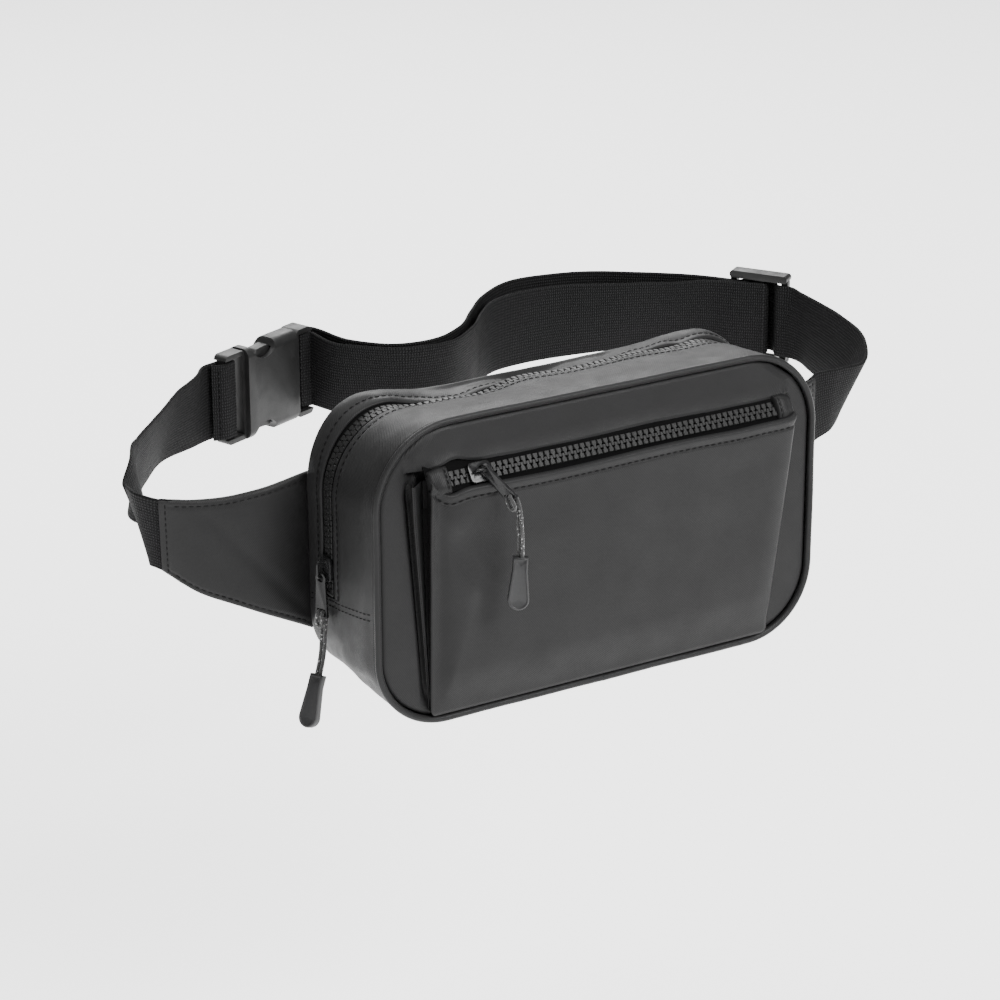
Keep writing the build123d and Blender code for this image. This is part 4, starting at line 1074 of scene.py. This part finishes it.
def make_pulls():
    for pull in ("main", "pocket"):
        soften(f"{pull}_slider_body", f"{pull}_slider", 0.28, 2, f"{pull}_slider", "slider_metal", METAL)
    for pull in ("main", "pocket"):
        soften(f"{pull}_tab_plate", f"{pull}_pull_tab", 0.22, 2, f"{pull}_tab", "slider_metal", METAL)
    route = doubled(MAIN_BAR, MAIN_BAR_DIR, MAIN_OUT, DOWN, MAIN_LEG + HITCH)
    (_, end_out, end_down), (_, out, down) = MAIN_LEG[:2]
    axis = (DOWN * (end_down - down) + MAIN_OUT * (end_out - out)).normalized()
    grip = pull_grip("main", (route[0] + route[-1]) / 2, axis, MAIN_BAR_DIR)
    pull_cord("main", route)
    down = (DOWN - POCKET_BAR_DIR * DOWN.dot(POCKET_BAR_DIR)).normalized()
    out = POCKET_BAR_DIR.cross(down)
    hang = POCKET_BAR + down * 8.0
    side = DOWN.cross(out).normalized()
    near = [hang + side * a + out * o + DOWN * d for a, o, d in POCKET_LEG]
    far = [hang - side * a + out * o + DOWN * d for a, o, d in reversed(POCKET_LEG)]
    route = near + doubled(POCKET_BAR, POCKET_BAR_DIR, out, down, HITCH) + far
    axis = (route[0] - route[1]).normalized()
    grip = pull_grip("pocket", (route[0] + route[-1]) / 2, axis, Vector((0.86, -0.5, 0)))
    pull_cord("pocket", route)


# ---- belt ----

BUCKLE_TURN = math.radians(22)
BUCKLE_X = Vector((math.cos(BUCKLE_TURN), math.sin(BUCKLE_TURN), 0))
BUCKLE_OUT = Vector((math.sin(BUCKLE_TURN), -math.cos(BUCKLE_TURN), 0))
BUCKLE_AT = Vector((-56, 152, 17))
GLIDE_X = Vector((0.56, -0.83, 0)).normalized()
GLIDE_OUT = GLIDE_X.cross(Vector((0, 0, 1)))
GLIDE_AT = Vector((208, 111, 17))
BUCKLE = (BUCKLE_AT, BUCKLE_X, BUCKLE_OUT)
GLIDE = (GLIDE_AT, GLIDE_X, GLIDE_OUT)
FOLD = 3.0              # strap's middle over the middle of a buckle's bar

LEFT_WING = (
    ((-110.5, 3, -44), (-110.5, 3, 31)),
    ((-133, 3, -32.5), (-133, 2, 28)),
    ((-148, 7, -25.5), (-148, 5, 26)),
    ((-162, 12, -18.5), (-163, 9, 26)),
    ((-173.5, 22, -9), (-178, 13.5, 27.5)),
)
RIGHT_WING = (
    ((110.5, 3, -43), (110.5, 3, 31)),
    ((133, 3, -35), (133, 2, 26)),
    ((148, 7, -31), (148, 5, 22)),
    ((161, 12, -26), (162, 9, 20)),
    ((174, 19, -17), (171.5, 14.5, 19.5)),
)


def on(piece, along, out):
    """Place on a piece of hardware."""
    at, run, outwards = piece
    return at + run * along + outwards * out


def threaded(piece, *places):
    """Strap stations on a piece of hardware, without lean."""
    return [(on(piece, along, out), 0) for along, out in places]


def round_bar(piece, edge, side, start, end):
    """Strap stations folded round a bar."""
    turn = ((-0.9, -FOLD), (0.45, -FOLD + 0.1), (0.95, -FOLD + 0.65), (1.0, -1.0))
    there = [(edge + side * along, out) for along, out in turn]
    back = [(along, -out) for along, out in reversed(there)]
    return threaded(piece, start, *there, *back, end)


def sewn_end(wing):
    """Strap stations from inside a wing's tip to just past it."""
    middles = [(Vector(low) + Vector(high)) / 2 for low, high in wing[-2:]]
    rises = [Vector(high) - Vector(low) for low, high in wing[-2:]]
    run = (middles[1] - middles[0]).normalized()
    share = 3.0 / (middles[1] - middles[0]).length
    inside = (middles[1] - run * 3.0, rises[0] * share + rises[1] * (1 - share))
    return [inside, (middles[1] + run * 1.2, rises[1])]


LEFT_STRAP = sewn_end(LEFT_WING) + [
    ((-180.3, 26, 10.2), Vector((-0.2, -0.14, 0.97))),
    ((-177.5, 36, 9.5), 17),
    ((-167.5, 55, 15.5), 11),
    ((-162, 74, 15), -8),
    ((-149, 90, 16), -13),
    ((-136, 105, 16.5), -16),
    ((-121, 121, 17), -16),
    ((-103, 133, 17), -8),
    *threaded(BUCKLE, (-38, -3.6)),
]
LEFT_STRAP += round_bar(BUCKLE, -25, 1, (-31, -FOLD), (-31, FOLD))
LEFT_STRAP += threaded(BUCKLE, (-36.5, -0.6))

OUTER_LAYER = sewn_end(RIGHT_WING) + [
    ((188, 18.5, 4), 16),
    ((200, 22, 6), 24),
    ((209, 34, 11), 16),
    ((213, 53, 14), 9),
    ((215.5, 74, 15.5), 2),
    ((216.5, 90, 16.5), -2),
    *threaded(GLIDE, (17, 2.7), (11.4, 2.7), (5.8, -4.7), (-5.8, -4.7), (-11.4, 2.7), (-16, 2.7)),
    ((180, 143, 18), -8),
    ((160, 155, 19), -8),
    ((140, 165, 19.5), -4),
    ((118, 169, 20), 2),
    ((95, 170, 20), 3),
    ((74, 161, 19), 0),
    ((56, 146, 18), -4),
    ((40, 131, 17.5), -8),
    ((22, 124.5, 17), -13),
    ((4, 127, 17), -14),
    ((-12, 141, 17), -10),
    (on(BUCKLE, 36.5, -1.5), -4),
]
OUTER_LAYER += round_bar(BUCKLE, 26, -1, (32, -FOLD), (31, FOLD + 1.2))

INNER_LAYER = [
    OUTER_LAYER[-1],
    ((-20, 143, 16), -8),
    ((-10, 133, 16.5), -14),
    ((6, 120, 17), -15),
    ((26, 118, 16.5), -13),
    ((45, 128, 17), -8),
    ((60, 143, 17), -4),
    ((77, 157, 16.5), 0),
    ((96, 162, 16), 3),
    ((117, 161, 16), 2),
    ((138, 155, 16), -6),
    ((157, 147, 16.5), -12),
    ((176, 137.5, 16.5), -12),
    (on(GLIDE, -22, 6.6), -4),
    *threaded(GLIDE, (-14, 6.4), (-6, 5.0), (1.6, 2.8), (3.0, 2.65), (3.5, 1.9), (3.5, -1.9), (3.0, -2.65),
              (1.6, -2.85), (-2.2, -2.9), (-3.5, -2.2), (-8.2, 3.6), (-14, 4.55), (-21, 4.6)),
]


def flow(points, step):
    """Smooth run through points: parameter, index of the span before and share of it, place and direction."""
    points = np.asarray(points, float)
    spans = np.linalg.norm(np.diff(points[:, :3], axis=0), axis=1)
    slopes = np.diff(points, axis=0) / spans[:, None]
    tangents = np.empty_like(points)
    tangents[0], tangents[-1] = slopes[0], slopes[-1]
    before, after = spans[:-1, None], spans[1:, None]
    tangents[1:-1] = (slopes[:-1] * after + slopes[1:] * before) / (before + after)
    places, runs = [], []
    for index, span in enumerate(spans):
        count = max(2, int(math.ceil(span / step)))
        t = np.linspace(0, 1, count, endpoint=False)[:, None]
        if index == len(spans) - 1:
            t = np.linspace(0, 1, count + 1)[:, None]
        a, b = points[index], points[index + 1]
        p, q = tangents[index] * span, tangents[index + 1] * span
        places.append((2 * t**3 - 3 * t**2 + 1) * a + (t**3 - 2 * t**2 + t) * p
                      + (3 * t**2 - 2 * t**3) * b + (t**3 - t**2) * q)
        runs.append(((6 * t**2 - 6 * t) * (a - b) + (3 * t**2 - 4 * t + 1) * p + (3 * t**2 - 2 * t) * q))
    return np.concatenate(places), np.concatenate(runs)


def unit(vectors):
    return vectors / np.linalg.norm(vectors, axis=-1, keepdims=True)


def strap_frame(stations, step=1.8):
    """Middle line, rise and outward direction of a strap through its stations."""
    places = [Vector(place) for place, lean in stations]
    rows = []
    for index, (place, lean) in enumerate(stations):
        run = (places[min(index + 1, len(places) - 1)] - places[max(index - 1, 0)]).normalized()
        if isinstance(lean, Vector):
            rise = lean.normalized()
        else:
            up = (Vector((0, 0, 1)) - run * run.z).normalized()
            rise = up * math.cos(math.radians(lean)) + up.cross(run) * math.sin(math.radians(lean))
        rows.append([*places[index], *rise])
    placed, runs = flow(rows, step)
    run = unit(runs[:, :3])
    rise = unit(placed[:, 3:])
    # square to its run, except where an end is sewn along a slanting wing tip
    reach = reach_along(placed[:, :3])
    square = np.ones(len(reach))
    for lean, distance in ((stations[0][1], reach), (stations[-1][1], reach[-1] - reach)):
        if isinstance(lean, Vector):
            square = square * ease(distance / 25)
    rise = unit(rise - run * ((rise * run).sum(1) * square)[:, None])
    return placed[:, :3], rise, unit(np.cross(run, rise))


def strap_mesh(name, stations, nodes, slack, seed):
    """Woven strap with rounded selvedges; slack is how far its edges curl away from its ends."""
    middle, rise, out = strap_frame(stations)
    reach = reach_along(middle)
    half, thick = WEB_WIDTH / 2, WEB_THICK / 2
    across = list(np.linspace(-half + 0.9, half - 0.9, 13))
    edge = [(-half + 0.35, 0.9), (-half, 0.35), (-half, -0.35), (-half + 0.35, -0.9)]
    section = [(v, 1.0) for v in across] + [(-v, w) for v, w in edge] + [(v, -1.0) for v in across[::-1]]
    section += [(v, -w) for v, w in edge]
    v = np.array([p[0] for p in section])
    w = np.array([p[1] for p in section]) * thick
    free = ease((reach - 25) / 40) * ease((reach[-1] - 25 - reach) / 40) if reach[-1] > 120 else 0 * reach
    curl = slack * free * np.array([noise.noise(Vector((r / 45, seed, 5))) for r in reach])
    lift = curl[:, None] * ((v / half) ** 2)[None, :]
    lift = lift + 0.10 * wave_noise(reach[:, None], v[None, :], seed, 0.12)
    points = (middle[:, None, :] + rise[:, None, :] * v[None, :, None]
              + out[:, None, :] * (w[None, :] + lift)[..., None])
    girth = np.where(w > 0, v, v + 0.5)
    obj = loop_mesh(name, points, pairs(reach[:, None], girth[None, :]), sharp=70)
    face_outwards(obj.data)
    finish_piece(obj, "pack", "webbing", WEBBING, *nodes)
    return middle, rise, out, reach


def cross_stitch(name, strap, place, face, rows=1, spacing=2.2):
    """Rows of stitches straight across a strap at a distance along it; face is +1 or -1."""
    middle, rise, out, reach = strap
    for row in range(rows):
        at = place + row * spacing
        centre = sample(at, reach, middle)
        up = unit(sample(at, reach, rise))
        side = unit(sample(at, reach, out)) * face
        v = np.linspace(-WEB_WIDTH / 2 + 1.5, WEB_WIDTH / 2 - 1.5, 30)[:, None]
        points = centre + up * v + side * (WEB_THICK / 2 + 0.05)
        stitches(f"{name}_{row}", points, np.tile(side, (30, 1)), 2.2, 0.9, 0.55, "webbing")


def wing_frame(wing, step):
    """Lower edge, upper edge and outward direction along a wing."""
    rows = [[*((np.array(low) + np.array(high)) / 2), *low, *high] for low, high in wing]
    placed, runs = flow(rows, step)
    rise = unit(placed[:, 6:] - placed[:, 3:6])
    run = unit(runs[:, :3])
    run = unit(run - rise * (rise * run).sum(1)[:, None])
    out = np.cross(run, rise)
    out *= np.sign(-out[:, 1:2])
    return placed[:, 3:6], placed[:, 6:], out


def make_wing(name, wing, side):
    """The two padded faces of a wing, stitched along both edges and across the tip."""
    low, high, out = wing_frame(wing, 1.6)
    q = (1 - np.cos(np.linspace(0, math.pi, 46)))[None, :] / 2
    tall = np.linalg.norm(high - low, axis=1)[:, None]
    reach = reach_along((low + high) / 2)[:, None]
    edge = np.minimum(q, 1 - q) * tall
    end = reach[-1] - reach
    faces = ((1, "front", "shell_cloth", SHELL), (-1, "back", "lining_cloth", LINING))
    for face, layer, slot_name, mat in faces:
        label = f"wing_{layer}_{name}"
        puff = 1.35 * rounded(edge - 1, 14)
        puff = puff * (0.45 + 0.55 * ease((end - 5) / 18)) * (0.7 + 0.3 * ease(reach / 10))
        groove = -0.42 * bell(edge, WING_STITCH, 0.7) * ease((end - 1.5) / 2)
        groove = groove - 0.45 * bell(end, TIP_STITCH, 0.7)
        creases = 0.35 * wave_noise(reach + 0 * q, q * tall, 81 + face, 0.05) * ease(edge / 8)
        creases = creases + 0.5 * bell(q * tall - 0.9 * (reach - 20), tall * 0.30, 5) * ease(edge / 12) * side
        hem = 1.15 * rounded(edge, 1.1)
        stand = np.maximum(0.25 + 0.72 * ease((8 - end) / 6), 0.15 + hem + puff + groove + creases)
        base = low[:, None, :] + (high - low)[:, None, :] * q[..., None]
        # the outline is a little uneven, as a sewn edge is
        uneven = 0.35 * wave_noise(reach + 0 * q, 0 * q, 83, 0.07) * (1 - edge / tall * 2)
        base = base + uneven[..., None] * np.array([0, 0, 1])
        front = base + out[:, None, :] * (face * stand)[..., None]
        inner = 0.05 + 0.72 * ease((14 - end) / 6) + 0 * q
        back = base + out[:, None, :] * (face * inner)[..., None]
        obj = sheet_mesh(f"{label}_pad", front, back, pairs(reach, q * tall))
        face_outwards(obj.data)
        foam = [f"wing_foam_{name}"] if face > 0 else []
        finish_piece(obj, "pack", slot_name, mat, label, *foam)
        for index, picked in enumerate((WING_STITCH / tall[:, 0], 1 - WING_STITCH / tall[:, 0])):
            columns = [np.argmin(np.abs(q[0] - share)) for share in picked]
            height = stand[np.arange(len(low)), columns] - 0.02
            points = low + (high - low) * picked[:, None] + out * (face * height)[:, None]
            keep = slice(2, len(points) - 3)
            stitches(f"{label}_stitch_{index}", points[keep], out[keep] * face, 2.2, 1.0, 0.42, slot_name)
        at = int(np.argmin(np.abs(end[:, 0] - TIP_STITCH)))
        points = front[at, 3:43]
        normals = np.tile(out[at] * face, (len(points), 1))
        stitches(f"{label}_tip_stitch", points, normals, 2.2, 0.9, 0.45, slot_name)


def make_belt():
    make_wing("left", LEFT_WING, -1)
    make_wing("right", RIGHT_WING, 1)
    left = strap_mesh("strap_left", LEFT_STRAP, ["left_strap"], 0.5, 71)
    cross_stitch("strap_left_sewn", left, left[3][-1] - 3.5, -1)
    strap_mesh("strap_outer_layer", OUTER_LAYER[::-1], ["long_strap"], 0.4, 73)
    inner = strap_mesh("strap_inner_layer", INNER_LAYER, [], 0.4, 75)
    cross_stitch("strap_loop_sewn", inner, inner[3][-1] - 5.5, 1)


def make_hardware():
    for name, source, width, segments, body in (
        ("buckle_body", "buckle_female", 0.5, 3, "pack"),
        ("buckle_plug", "buckle_male", 0.4, 2, "pack"),
        ("buckle_finger_upper", "buckle_prong_upper", 0.6, 3, "prong_upper"),
        ("buckle_finger_lower", "buckle_prong_lower", 0.6, 3, "prong_lower"),
        ("tri_glide", "triglide", 0.45, 3, "pack"),
    ):
        soften(name, source, width, segments, body, "hardware", HARDWARE)


# ---- studio ----

def look_at(obj, place, aim, roll=0.0):
    """Stand a light or camera at a place, facing another, turned about its own view."""
    obj.location = place
    obj.rotation_mode = "QUATERNION"
    facing = (Vector(aim) - Vector(place)).to_track_quat("-Z", "Y")
    obj.rotation_quaternion = facing @ Matrix.Rotation(math.radians(roll), 3, "Z").to_quaternion()


def make_studio():
    world = bpy.data.worlds.new("studio")
    bpy.context.scene.world = world
    world.use_nodes = True
    world.node_tree.nodes["Background"].inputs["Color"].default_value = (1, 1, 1, 1)
    world.node_tree.nodes["Background"].inputs["Strength"].default_value = WORLD_LIGHT
    for name, place, size, power in LIGHTS:
        data = bpy.data.lights.new(name, "AREA")
        data.shape = "RECTANGLE"
        data.size, data.size_y = size
        data.energy = power
        look_at(new_object(name, data), place, (0, 0, 0))
    glow = {"Emission_Color": (1, 1, 1, 1), "Emission_Strength": FLOOR_GLOW}
    mat, _, _ = material("floor", (0.94, 0.94, 0.94), 0.9, **glow)
    mesh = bpy.data.meshes.new("floor")
    corners = [(x * FLOOR_HALF, y * FLOOR_HALF, FLOOR_Z) for x, y in ((-1, -1), (1, -1), (1, 1), (-1, 1))]
    mesh.from_pydata(corners, [], [(0, 1, 2, 3)])
    floor = new_object("floor", mesh)
    floor.data.materials.append(mat)


def make_camera():
    data = bpy.data.cameras.new("camera")
    data.lens = CAMERA_LENS
    data.sensor_width = 36
    data.clip_start, data.clip_end = 0.05, 20
    camera = new_object("camera", data)
    look_at(camera, CAMERA_AT, CAMERA_AIM, CAMERA_ROLL)
    bpy.context.scene.camera = camera


make_wall()
make_piping()
make_front_panel()
make_back()
make_pocket()
make_main_zip()
make_pocket_zip()
make_pulls()
make_belt()
make_hardware()
make_studio()
make_camera()
